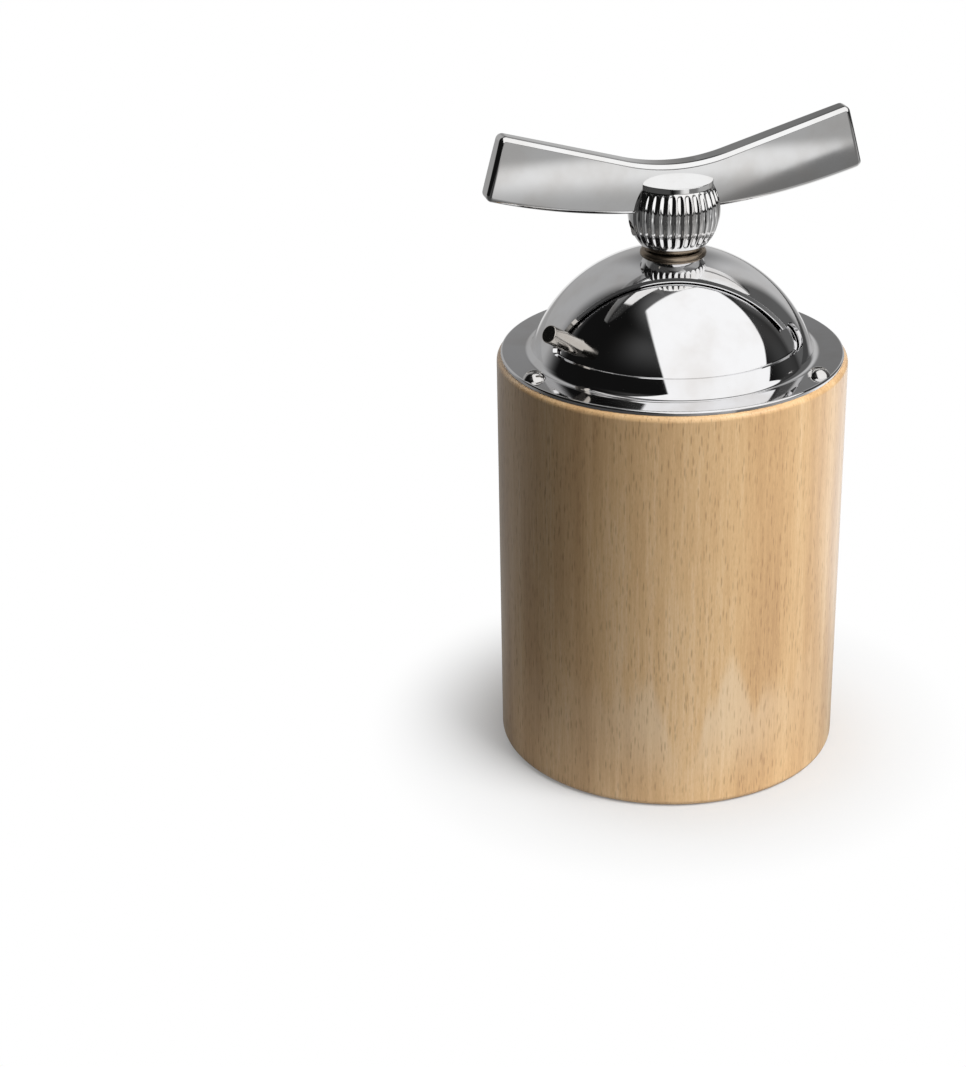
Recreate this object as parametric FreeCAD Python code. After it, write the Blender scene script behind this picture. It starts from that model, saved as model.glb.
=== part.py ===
"""Hand cranked flaxseed mill: a wooden cylinder, a domed steel cap with a turning door,
and a crank that drives a conical burr in the foot.

Millimetres. The origin is the middle of the foot on the spindle axis, +Z is up,
and the window in the cap faces -Y.
"""
import FreeCAD, Part
import math
import os

V = FreeCAD.Vector
UP = V(0, 0, 1)
ORIGIN = V(0, 0, 0)

# Wooden body
body_radius = 34.2
body_height = 83.0
body_top_round = 1.2
body_foot_round = 1.4
hopper_radius = 24.0
ledge_height = 36.0
funnel_mouth_radius = 20.4
funnel_floor_height = 25.0
throat_radius = 14.4
outlet_radius = 22.0
outlet_depth = 8.0
outlet_chamfer = 0.8

# Domed cap, pressed from sheet
sheet_thickness = 0.8
flange_radius = 33.4
flange_edge_round = 0.4
dome_radius = 29.0
dome_rise = 20.15
dome_fillet = 1.6
crown_seat_radius = 6.2

# Window in the cap
window_setback = 10.8
window_sill_rise = 3.4
window_corner_round = 2.0
notch_angle = -23.4
notch_elevation = 30.6
notch_radius = 2.85

# Door, a spherical shell that turns inside the cap
door_thickness = 0.8
door_gap = 0.25
door_edge_distance = 9.65
door_edge_angle = -96.6
door_band_rise = 3.1
tab_angle = -25.2
tab_elevation = 30.5
tab_radius = 3.0

# Door knob and the screw that holds it from inside
knob_angle = -141.8
knob_elevation = 31.8
knob_radius = 1.75
knob_length = 8.2
knob_chamfer = 0.25
knob_screw_radius = 0.8
knob_screw_depth = 4.0
knob_screw_head_radius = 1.6
knob_screw_head_height = 0.8

# Ring that carries the door, clamped between the cap and the wood
ring_radius = 29.55
ring_thickness = 0.8
ring_lip_rise = 1.7
ring_lip_thickness = 0.8

# Cap screws
cap_screw_count = 3
cap_screw_circle = 31.0
cap_screw_first_angle = 90.0
cap_screw_radius = 1.2
cap_screw_length = 10.0
cap_screw_head_radius = 2.2
cap_screw_head_height = 1.5
screw_slot_width = 0.6
screw_slot_depth = 0.6

# Bush in the crown of the cap and its nut
spindle_radius = 3.0
bush_radius = 4.5
bush_flange_radius = 6.4
bush_flange_thickness = 0.4
bush_rim_height = 0.9
bush_rim_inner_radius = 5.45
bush_rim_round = 0.8
nut_thickness = 2.0
nut_across_flats = 10.5
bush_tail = 0.6
hub_washer_radius = 4.4
hub_washer_thickness = 0.2

# Ribbed hub
hub_foot_radius = 4.9
hub_waist_radius = 8.8
hub_waist_rise = 6.9
hub_shoulder_radius = 6.9
hub_height = 14.0
hub_top_round = 0.4
flute_count = 34
flute_tool_radius = 0.75
flute_depth = 0.45
flute_half_height = 5.3
hub_bore_depth = 7.6

# Handle
crank_rest_angle = 15.4
handle_thickness = 4.6
handle_crown_radius = 110.0
handle_top_half_length = 34.2
handle_foot_half_length = 37.4
handle_foot_rise = 7.8
handle_middle_height = 9.5
handle_bend_radius = 36.0
handle_bend_half_width = 10.0
handle_foot_bow_radius = 126.0
handle_corner_round = 1.2
handle_edge_round = 1.0

# Set screw of the hub
set_screw_rise = 5.0
set_screw_radius = 1.5
set_screw_recess = 0.3
set_screw_slot_width = 0.5
set_screw_slot_depth = 0.7
spindle_flat_depth = 0.4

# Bearing spider in the hopper, its bush and screws
spider_thickness = 2.0
spider_arm_count = 3
spider_arm_width = 5.0
spider_arm_first_angle = 30.0
spider_boss_radius = 6.0
spider_boss_height = 7.0
spider_boss_drop = 3.0
spider_bush_radius = 4.4
spider_screw_radius = 0.9
spider_screw_length = 8.0
spider_screw_head_radius = 1.6

# Burrs
burr_height = 13.5
burr_radius = 17.0
burr_entry_drop = 4.0
burr_neck_radius = 10.6
burr_mouth_radius = 13.9
burr_gap = 0.5
female_groove_count = 24
female_groove_width = 1.2
female_groove_depth = 0.7
male_groove_count = 12
male_groove_width = 2.6
male_groove_depth = 1.3
male_groove_lead = 35.0
male_top_radius = 7.4
male_hub_drop = 0.6
burr_seat_radius = 2.4
burr_seat_flat = 0.5

# Plate that keeps the outer burr in the body
plate_radius = 21.5
plate_opening_radius = 14.6
plate_thickness = 1.2
plate_screw_count = 3
plate_screw_circle = 19.4
plate_screw_radius = 1.1
plate_screw_length = 8.0
plate_screw_head_radius = 2.0
plate_screw_head_height = 1.2

# Fastening at the lower end of the spindle
burr_washer_radius = 4.6
burr_washer_thickness = 0.8
burr_screw_radius = 1.2
burr_screw_length = 8.0
burr_screw_head_radius = 2.6
burr_screw_head_height = 1.6

# Spring between the spider and the inner burr
spring_coil_radius = 4.7
spring_wire_radius = 0.5
spring_turns = 5
spring_washer_radius = 6.0
spring_washer_thickness = 0.5

# Clearances
running_clearance = 0.05
fit_clearance = 0.02
flange_hole_clearance = 0.1

# Lengths for the cutting tools: how far they run past a face, and when an edge lies on one
overrun = 1.0
on_face = 1e-6

# Levels and radii that follow from the sizes above
flange_top = body_height + sheet_thickness
dome_centre = flange_top + dome_rise - dome_radius
cap_inner_radius = dome_radius - sheet_thickness
door_outer_radius = cap_inner_radius - door_gap
door_inner_radius = door_outer_radius - door_thickness
door_foot = body_height + running_clearance
door_band_top = flange_top + door_band_rise
crown_seat = dome_centre + math.sqrt(dome_radius ** 2 - crown_seat_radius ** 2)
hub_foot = crown_seat + bush_flange_thickness + hub_washer_thickness + running_clearance
spindle_bore_radius = spindle_radius + running_clearance
burr_top = outlet_depth + burr_height
male_top = burr_top - male_hub_drop
spider_boss_foot = ledge_height - spider_boss_drop
plate_foot = outlet_depth - plate_thickness


def at(radius, height):
    """Point of a turned section."""
    return V(radius, 0, height)


def line(start, end):
    return Part.LineSegment(start, end).toShape()


def arc(start, middle, end):
    return Part.Arc(start, middle, end).toShape()


def arc_about(centre, radius, first, last):
    """Arc in the section plane about a centre, between two angles from +X in degrees."""
    angles = [math.radians(a) for a in (first, (first + last) / 2, last)]
    return arc(*[centre + V(radius * math.cos(a), 0, radius * math.sin(a)) for a in angles])


def chain(corners):
    """Straight edges through the corners, in order."""
    return [line(a, b) for a, b in zip(corners, corners[1:])]


def closed_face(edges):
    """Face inside an open run of edges, closed by a last straight edge."""
    ends = [edges[-1].lastVertex().Point, edges[0].firstVertex().Point]
    return Part.Face(Part.Wire(edges + [line(*ends)]))


def turned(edges):
    """Solid turned about the spindle axis."""
    return closed_face(edges).revolve(ORIGIN, UP, 360)


def ring(inner, outer, foot, thickness):
    """Flat washer on the spindle axis."""
    corners = [at(inner, foot), at(outer, foot), at(outer, foot + thickness), at(inner, foot + thickness)]
    return turned(chain(corners))


def post(radius, foot, height, angle=0.0, distance=0.0):
    """Upright cylinder at a polar position."""
    a = math.radians(angle)
    place = V(distance * math.cos(a), distance * math.sin(a), foot)
    return Part.makeCylinder(radius, height, place, UP)


def turn(shape, angle):
    """Copy of a shape turned about the spindle axis."""
    copy = shape.copy()
    copy.rotate(ORIGIN, UP, angle)
    return copy


def around(shape, count, first=0.0):
    """Copies of a shape, evenly spaced about the spindle axis."""
    return [turn(shape, first + 360.0 * i / count) for i in range(count)]


def outward(angle, elevation):
    """Unit vector from the dome's centre."""
    a = math.radians(angle)
    e = math.radians(elevation)
    return V(math.cos(e) * math.cos(a), math.cos(e) * math.sin(a), math.sin(e))


def dome_pin(radius, inner, outer, angle, elevation):
    """Cylinder square to the dome, between two distances from the dome's centre."""
    direction = outward(angle, elevation)
    return Part.makeCylinder(radius, outer - inner, V(0, 0, dome_centre) + direction * inner, direction)


def dome_ball(radius):
    return Part.makeSphere(radius, V(0, 0, dome_centre))


def dome_reach(radius, height):
    """Distance from the spindle axis to a sphere about the dome's centre at a height."""
    return math.sqrt(radius ** 2 - (height - dome_centre) ** 2)


def dome_angle(reach, height):
    """Angle above the horizontal of a section point seen from the dome's centre."""
    return math.degrees(math.atan2(height - dome_centre, reach))


def wooden_body():
    ring_seat_radius = ring_radius + fit_clearance
    foot_corner = at(body_radius - body_foot_round, body_foot_round)
    top_corner = at(body_radius - body_top_round, body_height - body_top_round)
    burr_bore = burr_radius + fit_clearance
    outline = [line(at(outlet_radius + outlet_chamfer, 0), at(foot_corner.x, 0))]
    outline.append(arc_about(foot_corner, body_foot_round, -90, 0))
    outline.append(line(at(body_radius, foot_corner.z), at(body_radius, top_corner.z)))
    outline.append(arc_about(top_corner, body_top_round, 0, 90))
    inside = [
        at(top_corner.x, body_height),
        at(ring_seat_radius, body_height),
        at(ring_seat_radius, body_height - ring_thickness),
        at(hopper_radius, body_height - ring_thickness),
        at(hopper_radius, ledge_height),
        at(funnel_mouth_radius, ledge_height),
        at(throat_radius, funnel_floor_height),
        at(throat_radius, burr_top),
        at(burr_bore, burr_top),
        at(burr_bore, outlet_depth),
        at(outlet_radius, outlet_depth),
        at(outlet_radius, outlet_chamfer),
    ]
    body = turned(outline + chain(inside))
    cap_holes = post(cap_screw_radius + fit_clearance, flange_top - cap_screw_length,
                     cap_screw_length, 0, cap_screw_circle)
    plate_holes = post(plate_screw_radius + fit_clearance, outlet_depth,
                       plate_screw_length, 0, plate_screw_circle)
    spider_holes = post(spider_screw_radius + fit_clearance, ledge_height - spider_screw_length,
                        spider_screw_length, 0, spider_screw_circle())
    holes = around(cap_holes, cap_screw_count, cap_screw_first_angle)
    holes += around(plate_holes, plate_screw_count, cap_screw_first_angle)
    holes += around(spider_holes, spider_arm_count, spider_arm_first_angle)
    return body.cut(holes)


def window_tool():
    """What the window takes out of the cap: all in front of an upright plane and above
    a sill, with a round notch at the right where the knob parks."""
    sill = flange_top + window_sill_rise
    reach = 2 * dome_radius
    front = Part.makeBox(2 * reach, reach, reach, V(-reach, -window_setback - reach, sill))
    inner_edges = [e for e in front.Edges
                   if abs(e.CenterOfMass.y + window_setback) < on_face
                   and abs(e.CenterOfMass.z - sill) < on_face]
    front = front.makeFillet(window_corner_round, inner_edges)
    notch = dome_pin(notch_radius, dome_radius / 2, dome_radius + sheet_thickness,
                     notch_angle, notch_elevation)
    return front.fuse(notch)


def dome_cap():
    fillet_height = flange_top + dome_fillet
    fillet_reach = math.sqrt((dome_radius + dome_fillet) ** 2 - (fillet_height - dome_centre) ** 2)
    fillet_centre = at(fillet_reach, fillet_height)
    meeting = dome_angle(fillet_reach, fillet_height)
    crown_top = dome_angle(crown_seat_radius, crown_seat)
    inner_seat = crown_seat - sheet_thickness
    inner_seat_radius = dome_reach(cap_inner_radius, inner_seat)
    crown_bottom = dome_angle(inner_seat_radius, inner_seat)
    centre = at(0, dome_centre)
    hole = bush_radius + fit_clearance
    edge = at(flange_radius - flange_edge_round, flange_top - flange_edge_round)
    outline = [line(at(hole, crown_seat), at(crown_seat_radius, crown_seat))]
    outline.append(arc_about(centre, dome_radius, crown_top, meeting))
    outline.append(arc_about(fillet_centre, dome_fillet, 180 + meeting, 270))
    outline.append(line(at(fillet_reach, flange_top), at(edge.x, flange_top)))
    outline.append(arc_about(edge, flange_edge_round, 90, 0))
    outline += chain([
        at(flange_radius, edge.z),
        at(flange_radius, body_height),
        at(fillet_reach, body_height),
    ])
    outline.append(arc_about(fillet_centre, dome_fillet + sheet_thickness, 270, 180 + meeting))
    outline.append(arc_about(centre, cap_inner_radius, meeting, crown_bottom))
    outline.append(line(at(inner_seat_radius, inner_seat), at(hole, inner_seat)))
    cap = turned(outline).cut(window_tool())
    screw_hole = post(cap_screw_radius + flange_hole_clearance, body_height - overrun,
                      sheet_thickness + 2 * overrun, 0, cap_screw_circle)
    return cap.cut(around(screw_hole, cap_screw_count, cap_screw_first_angle))


def slotted_head(radius, height, slot_width, slot_depth):
    """Domed screw head standing on the plane z = 0, with a straight slot."""
    ball_radius = (radius ** 2 + height ** 2) / (2 * height)
    head = Part.makeSphere(ball_radius, V(0, 0, height - ball_radius))
    head = head.common(post(radius, 0, height))
    slot = Part.makeBox(4 * radius, slot_width, height, V(-2 * radius, -slot_width / 2, height - slot_depth))
    return head.cut(slot)


def cap_screws():
    head = slotted_head(cap_screw_head_radius, cap_screw_head_height,
                        screw_slot_width, screw_slot_depth)
    shank = post(cap_screw_radius, -cap_screw_length + fit_clearance, cap_screw_length)
    screw = head.fuse(shank)
    screw.translate(V(cap_screw_circle, 0, flange_top))
    return Part.makeCompound(around(screw.removeSplitter(), cap_screw_count, cap_screw_first_angle))


def door_ring():
    lip_top = body_height + ring_lip_rise
    lip_radius = door_inner_radius - running_clearance
    lip_reach = dome_reach(lip_radius, lip_top)
    foot_reach = dome_reach(lip_radius, body_height)
    foot = body_height - ring_thickness
    lip_inner = lip_reach - ring_lip_thickness
    outline = chain([
        at(lip_inner, lip_top),
        at(lip_inner, foot),
        at(ring_radius, foot),
        at(ring_radius, body_height),
        at(foot_reach, body_height),
    ])
    outline.append(arc_about(at(0, dome_centre), lip_radius,
                             dome_angle(foot_reach, body_height), dome_angle(lip_reach, lip_top)))
    return turned(outline)


def dome_door():
    """Front part of a sphere cut off along an upright plane, with a round tab at its
    right end and a full band at its foot that runs on the ring."""
    shell = dome_ball(door_outer_radius).cut(dome_ball(door_inner_radius))
    reach = 2 * dome_radius
    front = Part.makeBox(reach, 2 * reach, reach, V(door_edge_distance, -reach, door_foot))
    band = post(reach, door_foot, door_band_top - door_foot)
    tab = dome_pin(tab_radius, dome_radius / 2, dome_radius, tab_angle, tab_elevation)
    door = shell.common(turn(front, door_edge_angle).fuse([band, tab]))
    hole = dome_pin(knob_screw_radius + fit_clearance, dome_radius / 2, dome_radius,
                    knob_angle, knob_elevation)
    return door.cut(hole).removeSplitter()


def door_knob():
    end = door_outer_radius + knob_length
    knob = dome_pin(knob_radius, door_inner_radius, end, knob_angle, knob_elevation)
    rims = [e for e in knob.Edges if e.Length > math.pi * knob_radius
            and (e.CenterOfMass - V(0, 0, dome_centre)).Length > end - knob_chamfer]
    knob = knob.makeChamfer(knob_chamfer, rims)
    bore = dome_pin(knob_screw_radius + fit_clearance, door_inner_radius,
                    door_outer_radius + knob_screw_depth + fit_clearance, knob_angle, knob_elevation)
    return knob.cut([dome_ball(door_outer_radius), bore])


def door_knob_screw():
    shank = dome_pin(knob_screw_radius, door_inner_radius - knob_screw_head_height,
                     door_outer_radius + knob_screw_depth, knob_angle, knob_elevation)
    head = dome_pin(knob_screw_head_radius, door_inner_radius - knob_screw_head_height,
                    dome_radius, knob_angle, knob_elevation)
    return head.common(dome_ball(door_inner_radius)).fuse(shank).removeSplitter()


def crown_bush():
    """Flanged bush whose rounded rim stands round the foot of the hub."""
    tail = crown_seat - sheet_thickness - nut_thickness - bush_tail
    flange_top_level = crown_seat + bush_flange_thickness
    rim_top = crown_seat + bush_rim_height
    shoulder = at(bush_flange_radius - bush_rim_round, rim_top - bush_rim_round)
    outline = chain([
        at(spindle_bore_radius, tail),
        at(bush_radius, tail),
        at(bush_radius, crown_seat),
        at(bush_flange_radius, crown_seat),
        at(bush_flange_radius, shoulder.z),
    ])
    outline.append(arc_about(shoulder, bush_rim_round, 0, 90))
    outline += chain([
        at(shoulder.x, rim_top),
        at(bush_rim_inner_radius, rim_top),
        at(bush_rim_inner_radius, flange_top_level),
        at(spindle_bore_radius, flange_top_level),
    ])
    return turned(outline)


def bush_nut():
    foot = crown_seat - sheet_thickness - nut_thickness
    corner_radius = nut_across_flats / math.sqrt(3)
    corners = [V(corner_radius * math.cos(math.radians(60 * i)),
                 corner_radius * math.sin(math.radians(60 * i)), foot) for i in range(6)]
    nut = Part.Face(Part.makePolygon(corners + corners[:1])).extrude(UP * nut_thickness)
    return nut.cut(post(bush_radius + fit_clearance, foot, nut_thickness))


def hub_washer():
    foot = crown_seat + bush_flange_thickness + running_clearance
    return ring(spindle_radius + fit_clearance, hub_washer_radius, foot, hub_washer_thickness)


def blade():
    """Handle bar before it is turned to its rest angle: a bent blade in the XZ plane, its
    faces slightly crowned and its long edges rounded."""
    foot = hub_foot + handle_foot_rise
    middle_top = foot + handle_middle_height
    bend = math.asin(handle_bend_half_width / handle_bend_radius)
    bend_rise = handle_bend_radius * (1 - math.cos(bend))
    arm = handle_top_half_length - handle_bend_half_width
    tip_top = middle_top + bend_rise + arm * math.tan(bend)
    bow_rise = handle_foot_bow_radius - math.sqrt(handle_foot_bow_radius ** 2 - handle_foot_half_length ** 2)
    foot_left = at(-handle_foot_half_length, foot + bow_rise)
    foot_right = at(handle_foot_half_length, foot + bow_rise)
    top_right = at(handle_top_half_length, tip_top)
    top_left = at(-handle_top_half_length, tip_top)
    bend_right = at(handle_bend_half_width, middle_top + bend_rise)
    bend_left = at(-handle_bend_half_width, middle_top + bend_rise)
    outline = [
        arc(foot_left, at(0, foot), foot_right),
        line(foot_right, top_right),
        line(top_right, bend_right),
        arc(bend_right, at(0, middle_top), bend_left),
        line(bend_left, top_left),
        line(top_left, foot_left),
    ]
    flat = Part.Face(Part.Wire(outline)).extrude(V(0, handle_thickness, 0))
    flat.translate(V(0, -handle_thickness / 2, 0))
    corners = [e for e in flat.Edges if abs(e.Length - handle_thickness) < on_face
               and abs(e.CenterOfMass.x) > handle_bend_half_width + overrun]
    flat = flat.makeFillet(handle_corner_round, corners)
    mid_height = (foot + tip_top) / 2
    length = 4 * handle_foot_half_length
    offset = handle_crown_radius - handle_thickness / 2
    lens = [Part.makeCylinder(handle_crown_radius, length, V(-length / 2, y, mid_height), V(1, 0, 0))
            for y in (-offset, offset)]
    crowned = flat.common(lens[0].common(lens[1]))
    rims = [e for e in crowned.Edges if abs(e.CenterOfMass.y) > handle_thickness / 4]
    return crowned.makeFillet(handle_edge_round, rims)


def handle_bar():
    return turn(blade(), crank_rest_angle)


def barrel_arc():
    """Points of the arc that the hub's side follows: foot, waist and shoulder."""
    shoulder = hub_foot + hub_height - hub_top_round
    return [at(hub_foot_radius, hub_foot), at(hub_waist_radius, hub_foot + hub_waist_rise),
            at(hub_shoulder_radius, shoulder)]


def flute_tools():
    """Bent round bars that cut the flutes. Their line is flatter than the hub's side, so
    each flute runs out above and below the waist."""
    side = arc(*barrel_arc()).Curve
    waist_reach = side.Center.x + side.Radius
    end_drop = side.Radius - math.sqrt(side.Radius ** 2 - flute_half_height ** 2)
    tool_drop = end_drop - flute_depth
    line_radius = (flute_half_height ** 2 + tool_drop ** 2) / (2 * tool_drop)
    line_centre = at(waist_reach - flute_depth + flute_tool_radius - line_radius, side.Center.z)
    bar = Part.makeTorus(line_radius, flute_tool_radius, line_centre, V(0, 1, 0), 0, 360, 360)
    outer_part = Part.makeBox(2 * hub_waist_radius, 2 * hub_waist_radius, 2 * hub_height,
                              V(hub_waist_radius / 2, -hub_waist_radius, side.Center.z - hub_height))
    bar = bar.common(outer_part)
    pitch = 360.0 / flute_count
    blank = math.degrees(math.asin(2 * set_screw_radius / hub_waist_radius))
    angles = [pitch * (i + 0.5) for i in range(flute_count)]
    return [turn(bar, a) for a in angles if abs(a - 180) > blank / 2 + pitch / 4]


def ribbed_hub():
    top = hub_foot + hub_height
    foot, waist, shoulder = barrel_arc()
    outline = [
        line(at(spindle_radius + fit_clearance, hub_foot), foot),
        arc(foot, waist, shoulder),
        line(shoulder, at(hub_shoulder_radius - hub_top_round, top)),
        line(at(hub_shoulder_radius - hub_top_round, top), at(0, top)),
        line(at(0, top), at(0, hub_foot + hub_bore_depth)),
        line(at(0, hub_foot + hub_bore_depth),
             at(spindle_radius + fit_clearance, hub_foot + hub_bore_depth)),
    ]
    hub = turned(outline).cut(flute_tools())
    screw_hole = Part.makeCylinder(set_screw_radius + fit_clearance, 2 * hub_waist_radius,
                                   V(0, 0, hub_foot + set_screw_rise), V(-1, 0, 0))
    return turn(hub.cut([screw_hole, blade()]), crank_rest_angle)


def hub_set_screw():
    side = arc(*barrel_arc()).Curve
    level = hub_foot + set_screw_rise
    reach = side.Center.x + math.sqrt(side.Radius ** 2 - (level - side.Center.z) ** 2) - set_screw_recess
    start = spindle_radius - spindle_flat_depth
    screw = Part.makeCylinder(set_screw_radius, reach - start, V(-start, 0, level), V(-1, 0, 0))
    slot = Part.makeBox(set_screw_slot_depth, 4 * set_screw_radius, set_screw_slot_width,
                        V(-reach, -2 * set_screw_radius, level - set_screw_slot_width / 2))
    return turn(screw.cut(slot), crank_rest_angle)


def spindle():
    shoulder = male_top
    foot = plate_foot
    top = hub_foot + hub_bore_depth - running_clearance
    shaft = turned(chain([
        at(0, foot),
        at(burr_seat_radius, foot),
        at(burr_seat_radius, shoulder),
        at(spindle_radius, shoulder),
        at(spindle_radius, top),
        at(0, top),
    ]))
    level = hub_foot + set_screw_rise
    flat = Part.makeBox(spindle_radius, 2 * spindle_radius, 4 * set_screw_radius,
                        V(-2 * spindle_radius + spindle_flat_depth, -spindle_radius,
                          level - 2 * set_screw_radius))
    drive = Part.makeBox(burr_seat_radius, 2 * burr_seat_radius, shoulder - foot,
                         V(burr_seat_radius - burr_seat_flat, -burr_seat_radius, foot))
    screw_bore = post(burr_screw_radius + fit_clearance, foot, burr_screw_length)
    return turn(shaft.cut([flat, drive, screw_bore]), crank_rest_angle)


def spider_screw_circle():
    return (hopper_radius + funnel_mouth_radius) / 2


def bearing_spider():
    rim = ring(funnel_mouth_radius, hopper_radius - fit_clearance, ledge_height, spider_thickness)
    arm = Part.makeBox(funnel_mouth_radius + overrun, spider_arm_width, spider_thickness,
                       V(0, -spider_arm_width / 2, ledge_height))
    boss = post(spider_boss_radius, spider_boss_foot, spider_boss_height)
    spider = rim.fuse(around(arm, spider_arm_count, spider_arm_first_angle) + [boss]).removeSplitter()
    bore = post(spider_bush_radius + fit_clearance, spider_boss_foot, spider_boss_height)
    screw_hole = post(spider_screw_radius + fit_clearance, ledge_height, spider_thickness,
                      0, spider_screw_circle())
    countersink = spider_screw_cone(fit_clearance)
    screw_hole = screw_hole.fuse(countersink)
    return spider.cut([bore] + around(screw_hole, spider_arm_count, spider_arm_first_angle))


def spider_screw_cone(clearance):
    """Countersunk head at the place of one spider screw."""
    depth = spider_screw_head_radius - spider_screw_radius
    top = ledge_height + spider_thickness
    return Part.makeCone(spider_screw_radius + clearance, spider_screw_head_radius + clearance, depth,
                         V(spider_screw_circle(), 0, top - depth), UP)


def spider_screws():
    tip = ledge_height - spider_screw_length + fit_clearance
    shank = post(spider_screw_radius, tip, ledge_height + spider_thickness - tip, 0, spider_screw_circle())
    screw = shank.fuse(spider_screw_cone(0)).removeSplitter()
    return Part.makeCompound(around(screw, spider_arm_count, spider_arm_first_angle))


def spider_bush():
    return ring(spindle_bore_radius, spider_bush_radius, spider_boss_foot, spider_boss_height)


def groove(start, end, width, depth, sign):
    """Prism with a V section along a line. Its point turns away from the spindle axis
    for sign 1 and towards it for sign -1."""
    along = end - start
    away = V(start.x + end.x, start.y + end.y, 0) * sign
    side = along.cross(away).normalize()
    point = side.cross(along).normalize()
    left = start + side * (width / 2)
    right = start - side * (width / 2)
    corners = [left, start + point * depth, right, right - point * depth, left - point * depth]
    return Part.Face(Part.makePolygon(corners + corners[:1])).extrude(along)


def burr_neck():
    return burr_top - burr_entry_drop


def female_burr():
    burr = turned(chain([
        at(burr_mouth_radius, outlet_depth),
        at(burr_radius, outlet_depth),
        at(burr_radius, burr_top),
        at(throat_radius, burr_top),
        at(burr_neck_radius, burr_neck()),
    ]))
    tooth = groove(at(burr_neck_radius, burr_neck()), at(burr_mouth_radius, outlet_depth),
                   female_groove_width, female_groove_depth, 1)
    return burr.cut(around(tooth, female_groove_count))


def male_burr():
    foot_radius = burr_mouth_radius - burr_gap
    neck_radius = burr_neck_radius - burr_gap
    burr = turned(chain([
        at(0, outlet_depth),
        at(foot_radius, outlet_depth),
        at(neck_radius, burr_neck()),
        at(male_top_radius, male_top),
        at(0, male_top),
    ]))
    end = at(foot_radius, outlet_depth - overrun)
    start = turn_point(at(male_top_radius, male_top + overrun), male_groove_lead)
    tooth = groove(start, end, male_groove_width, male_groove_depth, -1)
    bore = post(burr_seat_radius + fit_clearance, outlet_depth, burr_height)
    flat = Part.makeBox(burr_seat_radius, 4 * burr_seat_radius, burr_height,
                        V(burr_seat_radius - burr_seat_flat + fit_clearance, -2 * burr_seat_radius,
                          outlet_depth))
    burr = burr.cut(around(tooth, male_groove_count)).cut(bore.cut(flat))
    return turn(burr, crank_rest_angle)


def turn_point(point, angle):
    a = math.radians(angle)
    return V(point.x * math.cos(a) - point.y * math.sin(a),
             point.x * math.sin(a) + point.y * math.cos(a), point.z)


def burr_plate():
    plate = ring(plate_opening_radius, plate_radius, plate_foot, plate_thickness)
    hole = post(plate_screw_radius + fit_clearance, plate_foot, plate_thickness, 0, plate_screw_circle)
    return plate.cut(around(hole, plate_screw_count, cap_screw_first_angle))


def burr_plate_screws():
    head = slotted_head(plate_screw_head_radius, plate_screw_head_height,
                        screw_slot_width, screw_slot_depth)
    screw = head.fuse(post(plate_screw_radius, -plate_screw_length, plate_screw_length)).removeSplitter()
    screw.rotate(ORIGIN, V(1, 0, 0), 180)
    screw.translate(V(plate_screw_circle, 0, plate_foot))
    return Part.makeCompound(around(screw, plate_screw_count, cap_screw_first_angle))


def burr_washer():
    foot = outlet_depth - burr_washer_thickness
    return ring(burr_seat_radius + fit_clearance, burr_washer_radius, foot, burr_washer_thickness)


def burr_screw():
    head = slotted_head(burr_screw_head_radius, burr_screw_head_height,
                        screw_slot_width, screw_slot_depth)
    length = burr_screw_length - fit_clearance
    screw = head.fuse(post(burr_screw_radius, -length, length)).removeSplitter()
    screw.rotate(ORIGIN, V(1, 0, 0), 180)
    screw.translate(V(0, 0, plate_foot))
    return turn(screw, crank_rest_angle)


def helix_point(angle, foot, rise):
    """Point of the spring's centre line and its direction there."""
    slope = rise / (2 * math.pi)
    outwards = V(math.cos(angle), math.sin(angle), 0) * spring_coil_radius
    course = UP.cross(outwards) + UP * slope
    return outwards + UP * (foot + slope * angle), course.normalize()


def tangent_arc(start, course, end):
    """Arc from a start point and direction to an end point."""
    chord = end - start
    lean = course.getAngle(chord)
    bulge = (course - chord * (course.dot(chord) / chord.dot(chord))).normalize()
    return arc(start, start + chord * 0.5 + bulge * (chord.Length / 2 * math.tan(lean / 2)), end)


def least_turn_gap(path):
    """Least gap between turns of the spring, on points along its centre line."""
    points = path.discretize(40 * spring_turns + 1)
    apart = [a.distanceToPoint(b) for i, a in enumerate(points) for b in points[i + 20:]]
    return min(apart) - 2 * spring_wire_radius


def return_spring():
    foot = male_top + spring_wire_radius + fit_clearance
    top = spring_washer_foot() - spring_wire_radius - fit_clearance
    rise = (top - foot) / spring_turns
    edges = []
    for quarter in range(4 * spring_turns):
        first, out = helix_point(quarter * math.pi / 2, foot, rise)
        last, into = helix_point((quarter + 1) * math.pi / 2, foot, rise)
        step = last - first
        spread = 2 * (1 - out.dot(into))
        reach = step.dot(out + into)
        length = (math.sqrt(reach ** 2 + spread * step.dot(step)) - reach) / spread
        meeting = (first + last) * 0.5 + (out - into) * (length / 2)
        edges.append(tangent_arc(first, out, meeting))
        back = tangent_arc(last, into * -1, meeting)
        middle = back.valueAt((back.FirstParameter + back.LastParameter) / 2)
        edges.append(arc(meeting, middle, last))
    path = Part.Wire(edges)
    print("least gap between the spring's turns %.2f" % least_turn_gap(path))
    start, course = helix_point(0, foot, rise)
    section = Part.Wire(Part.makeCircle(spring_wire_radius, start, course))
    return path.makePipeShell([section], True, False)


def spring_washer_foot():
    return spider_boss_foot - running_clearance - spring_washer_thickness


def spring_washer():
    return ring(spindle_radius + fit_clearance, spring_washer_radius,
                spring_washer_foot(), spring_washer_thickness)


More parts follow.
